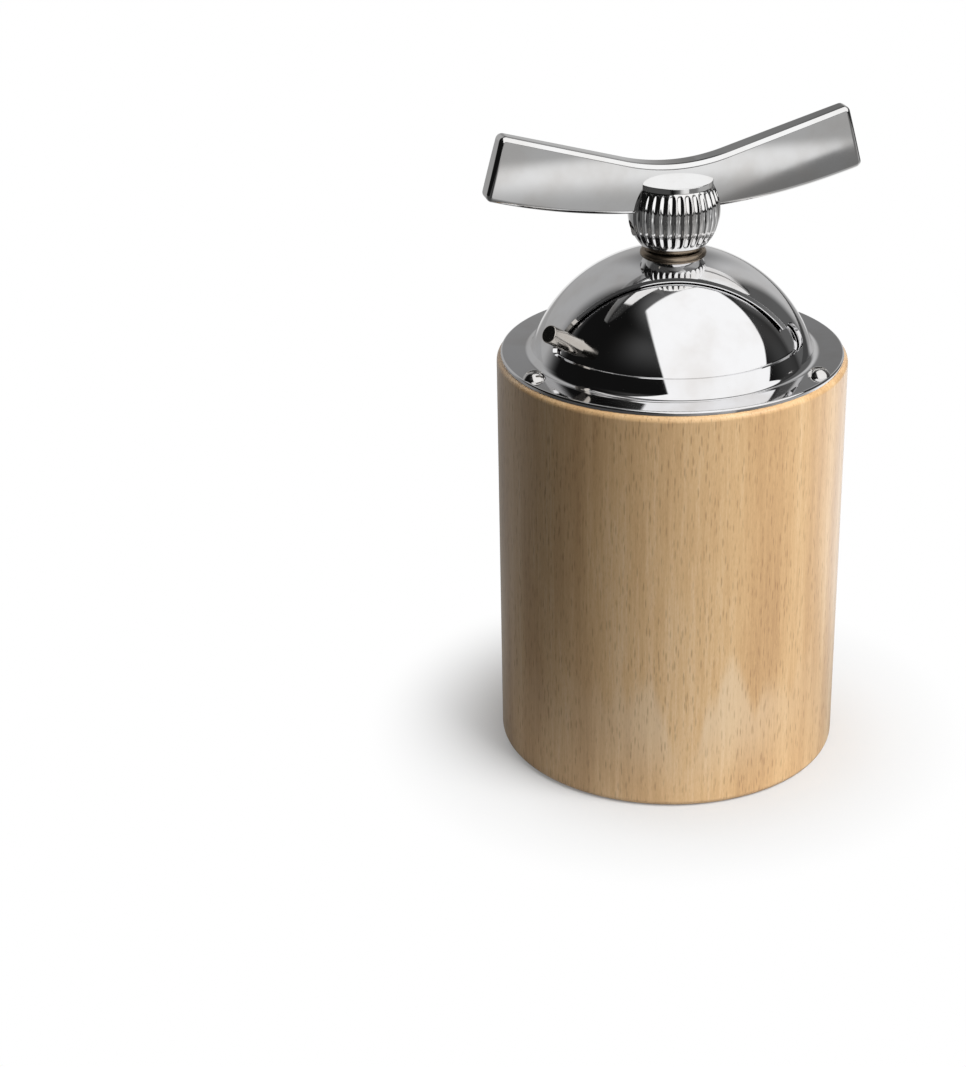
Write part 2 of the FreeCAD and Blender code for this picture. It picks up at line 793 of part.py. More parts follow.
NODES = [
    wooden_body, dome_cap, cap_screws, door_ring, crown_bush, bush_nut,
    bearing_spider, spider_bush, spider_screws, female_burr, burr_plate, burr_plate_screws,
    dome_door, door_knob, door_knob_screw,
    spindle, ribbed_hub, handle_bar, hub_set_screw, hub_washer,
    return_spring, spring_washer, male_burr, burr_washer, burr_screw,
]

os.makedirs("parts", exist_ok=True)
for node in NODES:
    solid = node()
    solid.exportStep("parts/" + node.__name__ + ".step")
    box = solid.BoundBox
    print(node.__name__, "solids", len(solid.Solids), "valid", solid.isValid(),
          "volume %.1f" % solid.Volume, "z %.2f to %.2f" % (box.ZMin, box.ZMax))
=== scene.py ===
"""Looks of the hand cranked flaxseed mill: turned beech, polished sheet, fluted hub, bent bar.

Shapes are worked out in millimetres in the part's own frame and made metres when they
become meshes. Each one is a set of grids of points with their outward normals.
"""
import bmesh
import bpy
import math
import numpy as np
from mathutils import Matrix

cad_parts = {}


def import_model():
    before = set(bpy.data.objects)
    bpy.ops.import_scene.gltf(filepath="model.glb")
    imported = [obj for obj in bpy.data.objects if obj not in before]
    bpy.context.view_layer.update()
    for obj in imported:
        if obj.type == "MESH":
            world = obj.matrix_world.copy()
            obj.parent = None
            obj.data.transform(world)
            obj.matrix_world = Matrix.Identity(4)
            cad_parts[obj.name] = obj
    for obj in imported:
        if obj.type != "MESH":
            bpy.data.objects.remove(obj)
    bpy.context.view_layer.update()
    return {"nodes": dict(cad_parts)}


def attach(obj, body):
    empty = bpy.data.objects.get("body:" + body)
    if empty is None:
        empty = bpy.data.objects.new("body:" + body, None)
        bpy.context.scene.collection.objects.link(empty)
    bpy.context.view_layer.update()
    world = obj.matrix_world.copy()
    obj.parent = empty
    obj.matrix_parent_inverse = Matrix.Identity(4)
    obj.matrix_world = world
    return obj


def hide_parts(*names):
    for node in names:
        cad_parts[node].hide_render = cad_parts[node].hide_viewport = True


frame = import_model()

MM = 0.001
MERGE_DISTANCE = 2e-7

# Wooden body, its pairs are radius and height
BODY_RADIUS = 34.2
BODY_HEIGHT = 83.0
BODY_TOP_ROUND = 1.2
BODY_FOOT_ROUND = 1.4
RING_SEAT = (29.57, 82.2)
HOPPER_RADIUS = 24.0
LEDGE = (20.4, 36.0)
THROAT = (14.4, 25.0)
BURR_BORE = (17.02, 21.5)
OUTLET = (22.0, 8.0)
OUTLET_EDGE_ROUND = 0.7
INSIDE_EDGE_ROUND = 0.3

# Cap of polished sheet
SHEET = 0.8
FLANGE_TOP = BODY_HEIGHT + SHEET
FLANGE_RADIUS = 33.4
FLANGE_EDGE_ROUND = 0.4
DOME_RADIUS = 29.0
DOME_CENTRE = 74.95
DOME_MIDDLE = np.array([0, 0, DOME_CENTRE])
DOME_FILLET = 1.6
CROWN_SEAT_RADIUS = 6.2
CROWN_SEAT = DOME_CENTRE + math.sqrt(DOME_RADIUS ** 2 - CROWN_SEAT_RADIUS ** 2)
BUSH_HOLE = 4.52
SHEET_EDGE_ROUND = 0.14

# Window in the cap
WINDOW_SETBACK = 10.8
SILL = FLANGE_TOP + 3.4
WINDOW_CORNER = 2.0
NOTCH = (-23.4, 30.6, 2.85)  # azimuth, elevation and radius, as in TAB and KNOB

# Door inside the cap
DOOR_OUTER = 27.95
DOOR_INNER = 27.15
DOOR_FOOT = 83.05
DOOR_BAND_TOP = 86.9
DOOR_EDGE_DISTANCE = 9.65
DOOR_EDGE_ANGLE = -96.6
TAB = (-25.2, 30.5, 3.0)

# Knob and screws
KNOB = (-141.8, 31.8, 1.75)
KNOB_LENGTH = 8.2
KNOB_SUNK = 0.4
KNOB_EDGE_ROUND = 0.25
CAP_SCREW_CIRCLE = 31.0
CAP_SCREWS = ((90.0, 35.0), (210.0, 4.0), (330.0, -3.0))  # place and turn of the slot
SCREW_HEAD = (2.2, 1.5)  # radius and height
SCREW_SLOT = (0.6, 0.6)  # width and depth

# Bush in the crown, its pairs are radius and height over the seat or length under it
BUSH_BORE = 3.05
BUSH_TUBE = (4.5, 2.6)
BUSH_FLANGE = (6.4, 0.9)
BUSH_RECESS = (5.45, 0.4)

# Hub: radius and height of the points that its side's arc runs through
CRANK_REST = 15.4
HUB_FOOT = CROWN_SEAT + 0.65
HUB_HEIGHT = 14.0
HUB_ARC = ((4.9, 0.0), (8.8, 6.9), (6.9, 13.6))
HUB_HEEL = 1.8
HUB_SHOULDER = 12.9
HUB_RIM = 13.7
HUB_EDGE_ROUND = 0.12
FLUTES = 34
FLUTE_RADIUS = 0.75
FLUTE_DEPTH = 0.42
FLUTE_MIDDLE = 7.5
FLUTE_HALF_LENGTH = 5.3
SET_SCREW_HOLE = (1.52, 5.0, 6.5, 12.0)  # radius, height, and reach from the hub's axis

# Handle
BLADE_FOOT = HUB_FOOT + 7.8
BLADE_HEIGHT = 9.5
BLADE_THICKNESS = 4.6
BLADE_CROWN = 110.0
BLADE_RIM = 1.0
BLADE_BOW = 126.0
BLADE_HALF_FOOT = 37.4
BLADE_HALF_TOP = 34.2
BLADE_BEND = 36.0
BLADE_BEND_HALF = 10.0
BLADE_CORNER = 1.2


# Shapes -----------------------------------------------------------------------------


def unit(vectors):
    return vectors / np.linalg.norm(vectors, axis=-1, keepdims=True)


def pairs(first, second):
    """First and second values side by side."""
    return np.stack(np.broadcast_arrays(first, second), -1)


def direction(azimuth, elevation):
    """Unit vectors for an azimuth from +X and an elevation, both in degrees."""
    a = np.radians(azimuth)
    e = np.radians(elevation)
    return np.stack(np.broadcast_arrays(np.cos(e) * np.cos(a), np.cos(e) * np.sin(a), np.sin(e)), -1)


def angles_of(points):
    """Azimuth and elevation of points about the dome's centre, azimuth from -180 to 180."""
    p = points - DOME_MIDDLE
    azimuth = np.degrees(np.arctan2(p[..., 1], p[..., 0]))
    return azimuth, np.degrees(np.arctan2(p[..., 2], np.hypot(p[..., 0], p[..., 1])))


def on_dome(radius, azimuth, elevation):
    return radius * direction(azimuth, elevation) + DOME_MIDDLE


def grid_quads(rows, columns):
    """Corner numbers of the faces of a grid, row by row."""
    index = np.arange(rows * columns).reshape(rows, columns)
    corners = [index[:-1, :-1], index[:-1, 1:], index[1:, 1:], index[1:, :-1]]
    return np.stack(corners, -1).reshape(-1, 4)


class Shape:
    """Grids of points with outward normals, joined into one closed mesh."""

    def __init__(self):
        self.points = []
        self.normals = []
        self.faces = []
        self.count = 0

    def grid(self, points, normals):
        """Faces between the rows and columns of a grid, turned to the side of its normals."""
        points = np.asarray(points, float)
        normals = np.broadcast_to(normals, points.shape)
        rows, columns = points.shape[:2]
        quads = grid_quads(rows, columns) + self.count
        facing = np.cross(points[1:, 1:] - points[:-1, :-1], points[1:, :-1] - points[:-1, 1:])
        if (facing * normals[1:, 1:]).sum() < 0:
            quads = quads[:, ::-1]
        self.points.append(points.reshape(-1, 3))
        self.normals.append(normals.reshape(-1, 3))
        self.faces.append(quads)
        self.count += rows * columns
        return self

    def mesh(self, name):
        """Mesh in metres with doubles merged, each corner keeping its grid's normal."""
        points = np.concatenate(self.points) * MM
        normals = np.concatenate(self.normals)
        faces = np.concatenate(self.faces)
        mesh = bpy.data.meshes.new(name)
        mesh.vertices.add(len(points))
        mesh.vertices.foreach_set("co", points.astype(np.float32).ravel())
        mesh.loops.add(faces.size)
        mesh.loops.foreach_set("vertex_index", faces.ravel().astype(np.int32))
        mesh.polygons.add(len(faces))
        mesh.polygons.foreach_set("loop_start", np.arange(0, faces.size, 4, dtype=np.int32))
        mesh.update(calc_edges=True)
        facing = mesh.attributes.new("facing", "FLOAT_VECTOR", "CORNER")
        facing.data.foreach_set("vector", normals[faces.ravel()].astype(np.float32).ravel())
        joined = bmesh.new()
        joined.from_mesh(mesh)
        bmesh.ops.remove_doubles(joined, verts=joined.verts, dist=MERGE_DISTANCE)
        joined.to_mesh(mesh)
        joined.free()
        return mesh


def keep_facing(mesh):
    """Sets the stored corner normals as the mesh's own."""
    facing = np.zeros(len(mesh.loops) * 3, np.float32)
    mesh.attributes["facing"].data.foreach_get("vector", facing)
    mesh.attributes.remove(mesh.attributes["facing"])
    mesh.polygons.foreach_set("use_smooth", np.ones(len(mesh.polygons), bool))
    mesh.normals_split_custom_set(unit(facing.reshape(-1, 3)).tolist())
    mesh.update()


def add_object(name, data):
    made = bpy.data.objects.new(name, data)
    bpy.context.scene.collection.objects.link(made)
    return made


def piece(shape, name, body, node, material, pin=None):
    """Object from a shape, less a pin: it rides on a body and stands for a CAD node."""
    mesh = drilled(shape.mesh(name), pin.mesh("pin")) if pin else shape.mesh(name)
    keep_facing(mesh)
    mesh.materials.append(material)
    made = add_object(name, mesh)
    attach(made, body)
    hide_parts(node)


def straight(start, end):
    """Run of a turned section, with the solid on its left."""
    points = np.array([start, end], float)
    along = unit(points[1] - points[0])
    return points, np.broadcast_to([along[1], -along[0]], points.shape)


def bend(centre, radius, first, last, parts):
    """Arc of a turned section between two angles in degrees, with the solid on its left."""
    a = np.radians(np.linspace(first, last, parts + 1))
    radial = pairs(np.cos(a), np.sin(a))
    return np.array(centre) + radius * radial, radial * np.sign(last - first)


def rounded(corners, radii, parts=6):
    """Runs through the corners of an open section, each inner corner rounded by its radius."""
    corners = np.array(corners, float)
    runs = []
    start = corners[0]
    for before, corner, after, radius in zip(corners, corners[1:], corners[2:], radii):
        into, out = unit(corner - before), unit(after - corner)
        turn = math.atan2(into[0] * out[1] - into[1] * out[0], into @ out)
        reach = radius * abs(math.tan(turn / 2))
        first = corner - into * reach
        if np.linalg.norm(first - start) > 1e-9:
            runs.append(straight(start, first))
        if radius:
            side = math.copysign(1, turn)
            centre = first + radius * side * np.array([-into[1], into[0]])
            angle = math.degrees(math.atan2(*(first - centre)[::-1]))
            runs.append(bend(centre, radius, angle, angle + math.degrees(turn), parts))
        start = corner + out * reach
    runs.append(straight(start, corners[-1]))
    return runs


UPRIGHT = np.eye(3)


def pointing(azimuth, elevation):
    """Axes whose third one points in a direction, as rows."""
    ahead = direction(azimuth, elevation)
    side = direction(azimuth + 90, 0)
    return np.stack([side, np.cross(ahead, side), ahead])


def turned(shape, runs, angles, axes=UPRIGHT, origin=(0, 0, 0)):
    """Turns each run about the third axis: radius times (cos, sin) across it and height
    along it."""
    a = np.radians(angles)
    around = np.cos(a)[:, None] * axes[0] + np.sin(a)[:, None] * axes[1]
    for points, normals in runs:
        p = points[:, None, :1] * around + points[:, None, 1:] * axes[2]
        n = normals[:, None, :1] * around + normals[:, None, 1:] * axes[2]
        shape.grid(p + np.array(origin, float), n)
    return shape


def between(first, last, parts):
    """Rows of points from one point, or row of points, to another."""
    s = np.linspace(0, 1, parts + 1).reshape(-1, *[1] * np.ndim(first))
    return (1 - s) * first + s * last


def full_turn(parts):
    return np.linspace(0, 360, parts + 1)


def edge_rim(shape, outer, inner, outer_normal, inner_normal):
    """Rounded cut edge of a sheet along a closed loop. The outer and inner loops are set
    back by the edge's radius, and a curve through each corner leads to the flat between
    them. Returns the set-back loops."""
    along = unit(np.roll(outer, -1, 0) - np.roll(outer, 1, 0))
    across = unit(inner - outer)
    out = np.cross(along, outer_normal)
    bottom = np.cross(along, inner_normal)
    flat = np.cross(across, along)
    flat = unit(flat * np.sign((flat * out).sum(-1, keepdims=True)))
    bottom *= np.sign((bottom * flat).sum(-1, keepdims=True))
    back = outer - SHEET_EDGE_ROUND * unit(out)
    back_inner = inner - SHEET_EDGE_ROUND * unit(bottom)
    upper = outer + SHEET_EDGE_ROUND * across
    lower = inner - SHEET_EDGE_ROUND * across
    steps = np.linspace(0, 1, 5)[:, None, None]
    rows, normals = [], []
    for a, corner, b, n_a, n_b in ((back, outer, upper, outer_normal, flat),
                                   (lower, inner, back_inner, flat, inner_normal)):
        rows.append((1 - steps) ** 2 * a + 2 * steps * (1 - steps) * corner + steps ** 2 * b)
        normals.append(unit(between(n_a, n_b, 4)))
    rows, normals = np.concatenate(rows), np.concatenate(normals)
    closed = np.r_[0:len(outer), 0]
    shape.grid(rows[:, closed], normals[:, closed])
    return back, back_inner


def dome_grid(shape, radius, first, last, parts, side):
    """Grid on a sphere about the dome's centre between two rows of angles."""
    rows = between(first, last, parts)
    shape.grid(on_dome(radius, rows[..., 0], rows[..., 1]), side * direction(rows[..., 0], rows[..., 1]))


def circle_on_dome(radius, pin, theta):
    """Points where a pin square to the dome, at (azimuth, elevation, pin radius), meets a
    sphere. Theta is 0 to the right and 90 upwards."""
    azimuth, elevation, pin_radius = pin
    tilt = math.asin(pin_radius / radius)
    t = np.radians(theta)[..., None]
    east = direction(azimuth + 90, 0)
    north = direction(azimuth, elevation + 90)
    middle = direction(azimuth, elevation)
    out = math.cos(tilt) * middle + math.sin(tilt) * (np.cos(t) * east + np.sin(t) * north)
    return radius * out + DOME_MIDDLE


def crossing(values, places):
    """First place where a sampled value changes sign."""
    k = np.nonzero(values[:-1] * values[1:] <= 0)[0][0]
    share = values[k] / (values[k] - values[k + 1])
    return places[k] + share * (places[k + 1] - places[k])


def eased(first, last, parts):
    """Values from first to last, close together at both ends."""
    s = (1 - np.cos(np.linspace(0, math.pi, parts + 1))) / 2
    return first + (last - first) * s


def window_outline(radius):
    """Lower and upper edge of the window on a sphere, from the left end to the right.

    The window is what lies in front of an upright plane and above the sill, the corner
    between the two rounded, joined with the round notch at the right."""
    def notch(theta):
        return circle_on_dome(radius, NOTCH, theta)

    low = SILL - DOME_CENTRE
    corner_angle = np.radians(np.linspace(0, 90, 181))
    y = -WINDOW_SETBACK - WINDOW_CORNER * (1 - np.sin(corner_angle))
    z = low + WINDOW_CORNER * (1 - np.cos(corner_angle))
    corner = np.stack([-np.sqrt(radius ** 2 - z ** 2 - y ** 2), y, z + DOME_CENTRE], -1)
    end = np.argmin(angles_of(corner)[0])
    theta = np.linspace(-179, -91, 400)
    dip = notch(theta)[:, 2] - SILL
    notch_start = crossing(dip, theta) if (dip < 0).any() else -90.0
    theta = np.linspace(20, 179, 700)
    notch_end = crossing(notch(theta)[:, 1] + WINDOW_SETBACK, theta)
    theta = np.linspace(-40, 60, 401)
    notch_right = theta[np.argmax(angles_of(notch(theta))[0])]
    reach = math.sqrt(radius ** 2 - low ** 2)
    azimuth = eased(angles_of(corner[0])[0], angles_of(notch(notch_start))[0], 90)
    sill = reach * direction(azimuth, 0) + SILL * UPRIGHT[2]
    pick = np.linspace(end, 0, 13).round().astype(int)
    lower = np.concatenate([corner[pick], sill[1:-1], notch(eased(notch_start, notch_right, 26))])
    upper_notch = notch(eased(notch_end, notch_right, 30))
    azimuth = eased(angles_of(corner[-1])[0], angles_of(upper_notch[0])[0], 130)
    cosine = WINDOW_SETBACK / (radius * np.abs(np.sin(np.radians(azimuth))))
    plane = on_dome(radius, azimuth, np.degrees(np.arccos(np.clip(cosine, 0, 1))))
    pick = np.linspace(end, 180, 4).round().astype(int)
    upper = np.concatenate([corner[pick], plane[1:-1], upper_notch])
    return lower, upper


def cap_shape():
    """Flange and fillet are turned. The dome is cut into a band below the window and a
    part above it, which share one seam round the back."""
    shape = Shape()
    fillet_level = FLANGE_TOP + DOME_FILLET
    fillet_reach = math.sqrt((DOME_RADIUS + DOME_FILLET) ** 2 - (fillet_level - DOME_CENTRE) ** 2)
    meeting = math.degrees(math.atan2(fillet_level - DOME_CENTRE, fillet_reach))
    inner = DOME_RADIUS - SHEET
    low_o, high_o = window_outline(DOME_RADIUS)
    low_i, high_i = window_outline(inner)
    loop_o = np.concatenate([low_o, high_o[-2:0:-1]])
    loop_i = np.concatenate([low_i, high_i[-2:0:-1]])
    set_back = edge_rim(shape, loop_o, loop_i, unit(loop_o - DOME_MIDDLE), -unit(loop_i - DOME_MIDDLE))
    crown = math.degrees(math.acos(CROWN_SEAT_RADIUS / DOME_RADIUS))
    seat_inner = math.sqrt(inner ** 2 - (CROWN_SEAT - SHEET - DOME_CENTRE) ** 2)
    crown_inner = math.degrees(math.acos(seat_inner / inner))
    flange = [(fillet_reach, BODY_HEIGHT), (FLANGE_RADIUS, BODY_HEIGHT), (FLANGE_RADIUS, FLANGE_TOP),
              (fillet_reach, FLANGE_TOP)]
    seat = [(CROWN_SEAT_RADIUS, CROWN_SEAT), (BUSH_HOLE, CROWN_SEAT), (BUSH_HOLE, CROWN_SEAT - SHEET),
            (seat_inner, CROWN_SEAT - SHEET)]
    below = rounded(flange, [0, FLANGE_EDGE_ROUND], 8) + [
        bend((fillet_reach, fillet_level), DOME_FILLET, 270, 180 + meeting, 10),
        bend((fillet_reach, fillet_level), DOME_FILLET + SHEET, 180 + meeting, 270, 8)]
    corner = len(low_o) - 1
    order = np.r_[0, len(loop_o) - 1:corner - 1:-1]
    rows = []
    for loop in set_back:
        angles = pairs(*angles_of(loop))
        seam = between(angles[corner], angles[0] + np.array([360, 0]), 120)[1:]
        rows.append((np.concatenate([angles[:corner + 1], seam]), np.concatenate([angles[order], seam])))
    below_turn, above_turn = rows[0][0][:, 0], rows[0][1][:, 0]
    for (lower, upper), radius, top, side in zip(rows, (DOME_RADIUS, inner), (crown, crown_inner), (1, -1)):
        dome_grid(shape, radius, pairs(below_turn, meeting), lower, 8, side)
        dome_grid(shape, radius, upper, pairs(above_turn, top), 36, side)
    turned(shape, below, below_turn)
    return turned(shape, rounded(seat, [0, 0]), above_turn)


def door_outline(radius):
    """Top edge of the door on a sphere: along the upright plane from the left, round the
    tab, and the azimuths on the band's top that its columns start from."""
    band = math.degrees(math.asin((DOOR_BAND_TOP - DOME_CENTRE) / radius))
    reach = radius * math.cos(math.radians(band))
    half = math.degrees(math.acos(DOOR_EDGE_DISTANCE / reach))
    normal = direction(DOOR_EDGE_ANGLE, 0)
    theta = np.linspace(60, 230, 1200)
    tab_start = crossing(circle_on_dome(radius, TAB, theta) @ normal - DOOR_EDGE_DISTANCE, theta)
    theta = np.linspace(-10, -89, 800)
    tab_end = crossing(circle_on_dome(radius, TAB, theta)[:, 2] - DOOR_BAND_TOP, theta)
    tab = circle_on_dome(radius, TAB, np.linspace(tab_start, tab_end, 70))
    azimuth = eased(DOOR_EDGE_ANGLE - half, angles_of(tab[0])[0], 150)
    cosine = DOOR_EDGE_DISTANCE / (radius * np.cos(np.radians(azimuth - DOOR_EDGE_ANGLE)))
    edge = on_dome(radius, azimuth, np.degrees(np.arccos(np.clip(cosine, 0, 1))))
    edge[0] = on_dome(radius, azimuth[0], band)
    top = np.concatenate([edge[:-1], tab])
    last = angles_of(tab[-1])[0]
    foot_azimuth = np.concatenate([azimuth[:-1], np.linspace(azimuth[-1], last, len(tab))])
    back = np.linspace(last, azimuth[0] + 360, 140)[1:-1]
    return top, foot_azimuth, back, band


def door_shape():
    """A band that runs all round, and above it the front cut off along the plane and the
    tab, between an outer and an inner sphere."""
    shape = Shape()
    loops = []
    for radius in (DOOR_OUTER, DOOR_INNER):
        top, foot_azimuth, back, band = door_outline(radius)
        edge = np.concatenate([top, on_dome(radius, back, band)])
        loops.append((radius, edge, len(top), foot_azimuth, back))
    outer, inner = loops
    set_back = edge_rim(shape, outer[1], inner[1], unit(outer[1] - DOME_MIDDLE),
                        -unit(inner[1] - DOME_MIDDLE))
    foot_turn = np.concatenate([outer[3], outer[4], outer[3][:1] + 360])
    feet = []
    for (radius, _, count, foot_azimuth, back), loop, side in zip(loops, set_back, (1, -1)):
        angles = pairs(*angles_of(loop))
        top = angles[:count]
        start = pairs(foot_azimuth, angles[count + 5, 1])
        start[0], start[-1] = top[0], top[-1]
        dome_grid(shape, radius, start, top, 30, side)
        behind = pairs(back, angles[count:, 1])
        ring = np.concatenate([start, behind, start[:1] + np.array([[360, 0]])])
        foot = math.degrees(math.asin((DOOR_FOOT - DOME_CENTRE) / radius))
        dome_grid(shape, radius, pairs(foot_turn, foot), ring, 4, side)
        feet.append(on_dome(radius, foot_turn, foot))
    shape.grid(np.stack(feet), (0, 0, -1))
    return shape


def wooden_shape():
    """Closed section turned about the axis: foot, side, top, seat of the ring, hopper,
    funnel, bore of the burr and outlet."""
    foot_middle = 30.0
    corners = [(foot_middle, 0), (BODY_RADIUS, 0), (BODY_RADIUS, BODY_HEIGHT),
               (RING_SEAT[0], BODY_HEIGHT), RING_SEAT, (HOPPER_RADIUS, RING_SEAT[1]),
               (HOPPER_RADIUS, LEDGE[1]), LEDGE, THROAT, (THROAT[0], BURR_BORE[1]), BURR_BORE,
               (BURR_BORE[0], OUTLET[1]), OUTLET, (OUTLET[0], 0), (foot_middle, 0)]
    edge = INSIDE_EDGE_ROUND
    radii = [BODY_FOOT_ROUND, BODY_TOP_ROUND, edge, 0, edge, 0, edge, edge, edge, 0, edge, 0,
             OUTLET_EDGE_ROUND]
    return turned(Shape(), rounded(corners, radii), full_turn(240))


def knob_shape():
    """Round peg square to the door, its foot sunk a little into the door's sheet."""
    start, end = DOOR_OUTER - KNOB_SUNK, DOOR_OUTER + KNOB_LENGTH
    corners = [(0, start), (KNOB[2], start), (KNOB[2], end), (0, end)]
    return turned(Shape(), rounded(corners, [0, KNOB_EDGE_ROUND]), full_turn(64),
                  pointing(KNOB[0], KNOB[1]), DOME_MIDDLE)


def slotted_dome(shape, axes, origin):
    """Domed head: two halves of a ball's cap on either side of a straight slot, the slot's
    walls and floor, and what is left of the cap beyond the slot's ends."""
    (radius, height), (slot, depth) = SCREW_HEAD, SCREW_SLOT
    ball = (radius ** 2 + height ** 2) / (2 * height)
    drop = ball - height
    floor = height - depth
    end = math.sqrt(ball ** 2 - (floor + drop) ** 2)
    half = slot / 2

    def reach(distance, y):
        return np.sqrt(np.maximum(distance ** 2 - y ** 2, 0))

    def put(x, y, z, normal):
        points = np.stack(np.broadcast_arrays(x, y, z), -1) @ axes + np.array(origin, float)
        shape.grid(points, np.asarray(normal, float) @ axes)

    def cap(x, y):
        z = np.sqrt(np.maximum(ball ** 2 - x ** 2 - y ** 2, 0)) - drop
        put(x, y, z, np.stack([x, y, z + drop], -1) / ball)

    across = np.linspace(-1, 1, 41)[None]
    inside = np.linspace(-half, half, 7)[:, None]
    share = np.linspace(0, 1, 9)[None]
    for side in (-1, 1):
        y = side * eased(half, radius, 16)[:, None]
        cap(across * reach(radius, y), y + 0 * across)
        x = across * math.sqrt(end ** 2 - half ** 2)
        top = np.sqrt(ball ** 2 - x ** 2 - half ** 2) - drop
        wall = np.concatenate([np.full_like(x, floor), top])
        put(np.concatenate([x, x]), side * half, wall, (0, -side, 0))
        beyond = (1 - share) * reach(end, inside) + share * reach(radius, inside)
        cap(side * beyond, inside + 0 * share)
    put(across * reach(end, inside), inside + 0 * across, floor, (0, 0, 1))
    y = np.linspace(-radius, radius, 33)[:, None]
    put(across * reach(radius, y), y + 0 * across, 0, (0, 0, -1))


def cap_screws_shape():
    shape = Shape()
    for angle, slot in CAP_SCREWS:
        axes = np.stack([direction(slot, 0), direction(slot + 90, 0), UPRIGHT[2]])
        slotted_dome(shape, axes, CAP_SCREW_CIRCLE * direction(angle, 0) + FLANGE_TOP * UPRIGHT[2])
    return shape


def barrel(height):
    """Radius of the hub's side at heights above its foot: an arc through foot, waist and
    shoulder."""
    foot, waist, shoulder = np.array(HUB_ARC)
    rows = 2 * np.stack([waist - foot, shoulder - foot])
    centre = np.linalg.solve(rows, [waist @ waist - foot @ foot, shoulder @ shoulder - foot @ foot])
    radius = np.linalg.norm(foot - centre)
    return centre[0] + np.sqrt(radius ** 2 - (height - centre[1]) ** 2)


def hub_shape():
    """Barrel whose side is an arc, less the flutes. A flute is a round groove whose depth
    fades above and below its middle. None is cut where the set screw sits."""
    pitch = 360 / FLUTES
    turn = np.linspace(0, 360, FLUTES * 20 + 1)
    height = np.concatenate([np.linspace(0, HUB_HEEL, 8), np.linspace(HUB_HEEL, HUB_SHOULDER, 93)[1:],
                             np.linspace(HUB_SHOULDER, HUB_RIM, 5)[1:]])
    side = barrel(np.minimum(height, HUB_SHOULDER))[:, None]
    fade = np.clip(1 - np.abs((height - FLUTE_MIDDLE) / FLUTE_HALF_LENGTH) ** 8, 0, None)
    offset = (turn % pitch) - pitch / 2
    offset = np.where(np.abs(turn - 180) < pitch, pitch, offset)
    across = np.radians(offset)[None] * side
    cut = np.sqrt(np.maximum(FLUTE_RADIUS ** 2 - across ** 2, 0)) - FLUTE_RADIUS
    cut += FLUTE_DEPTH * fade[:, None]
    radius = side - np.where(np.abs(across) < FLUTE_RADIUS, np.maximum(cut, 0), 0)
    around = np.radians(turn + CRANK_REST)
    level = np.broadcast_to(height[:, None] + HUB_FOOT, radius.shape)
    points = np.stack([radius * np.cos(around), radius * np.sin(around), level], -1)
    along = np.gradient(points, axis=0)
    sideways = points[:, np.r_[1:len(turn), 1]] - points[:, np.r_[-2, 0:len(turn) - 1]]
    shape = Shape().grid(points, unit(np.cross(sideways, along)))
    rim, top = side[-1, 0], HUB_FOOT + HUB_HEIGHT
    foot = straight((0, HUB_FOOT), (HUB_ARC[0][0], HUB_FOOT))
    head = rounded([(rim, HUB_FOOT + HUB_RIM), (rim, top), (0, top)], [HUB_EDGE_ROUND], 8)
    return turned(shape, [foot, *head], turn + CRANK_REST)


def set_screw_pin():
    """Round pin where the set screw sits. Its normals point inwards, as those of the
    hole's wall do."""
    radius, level, start, end = SET_SCREW_HOLE
    corners = [(0, start), (radius, start), (radius, end), (0, end)]
    runs = [(points, -normals) for points, normals in rounded(corners, [0, 0])]
    axes = np.stack([direction(CRANK_REST + 90, 0), UPRIGHT[2], -direction(CRANK_REST, 0)])
    pin = turned(Shape(), runs, full_turn(48), axes, (0, 0, HUB_FOOT + level))
    pin.faces = [quads[:, ::-1] for quads in pin.faces]
    return pin


def drilled(mesh, pin):
    """Mesh less a pin's mesh, each corner keeping its normal."""
    solid, tool = add_object("solid", mesh), add_object("tool", pin)
    cut = solid.modifiers.new("hole", "BOOLEAN")
    cut.operation = "DIFFERENCE"
    cut.solver = "EXACT"
    cut.object = tool
    graph = bpy.context.evaluated_depsgraph_get()
    result = bpy.data.meshes.new_from_object(solid.evaluated_get(graph), depsgraph=graph)
    bpy.data.objects.remove(solid)
    bpy.data.objects.remove(tool)
    return result


def bush_shape():
    """Turned bush: a flange with a rounded rim and a recess on the crown, and a tube
    through the crown."""
    tube, flange, recess = BUSH_TUBE[0], BUSH_FLANGE[0], BUSH_RECESS[0]
    tail = CROWN_SEAT - SHEET - BUSH_TUBE[1]
    rim, floor = CROWN_SEAT + BUSH_FLANGE[1], CROWN_SEAT + BUSH_RECESS[1]
    corners = [(BUSH_BORE, tail), (tube, tail), (tube, CROWN_SEAT), (flange, CROWN_SEAT), (flange, rim),
               (recess, rim), (recess, floor), (BUSH_BORE, floor), (BUSH_BORE, tail)]
    return turned(Shape(), rounded(corners, [0.2, 0, 0.05, 0.8, 0.08, 0, 0.1]), full_turn(128))


def mirrored(runs):
    """Runs of an outline in the blade's plane on the other side of its middle, so that
    they still go the same way round."""
    flip = np.array([-1, 1])
    return [(points[::-1] * flip, normals[::-1] * flip) for points, normals in runs[::-1]]


def corner_centre(point, first_out, second_out):
    """Centre of the round that touches both lines through a point, given by normals."""
    outs = np.stack([first_out, second_out])
    return np.linalg.solve(outs, outs @ point - BLADE_CORNER)


def corner_arc(centre, first, last):
    """Arc of a corner's round between two outward directions."""
    out = unit(between(first, last, 8))
    return centre + BLADE_CORNER * out, out


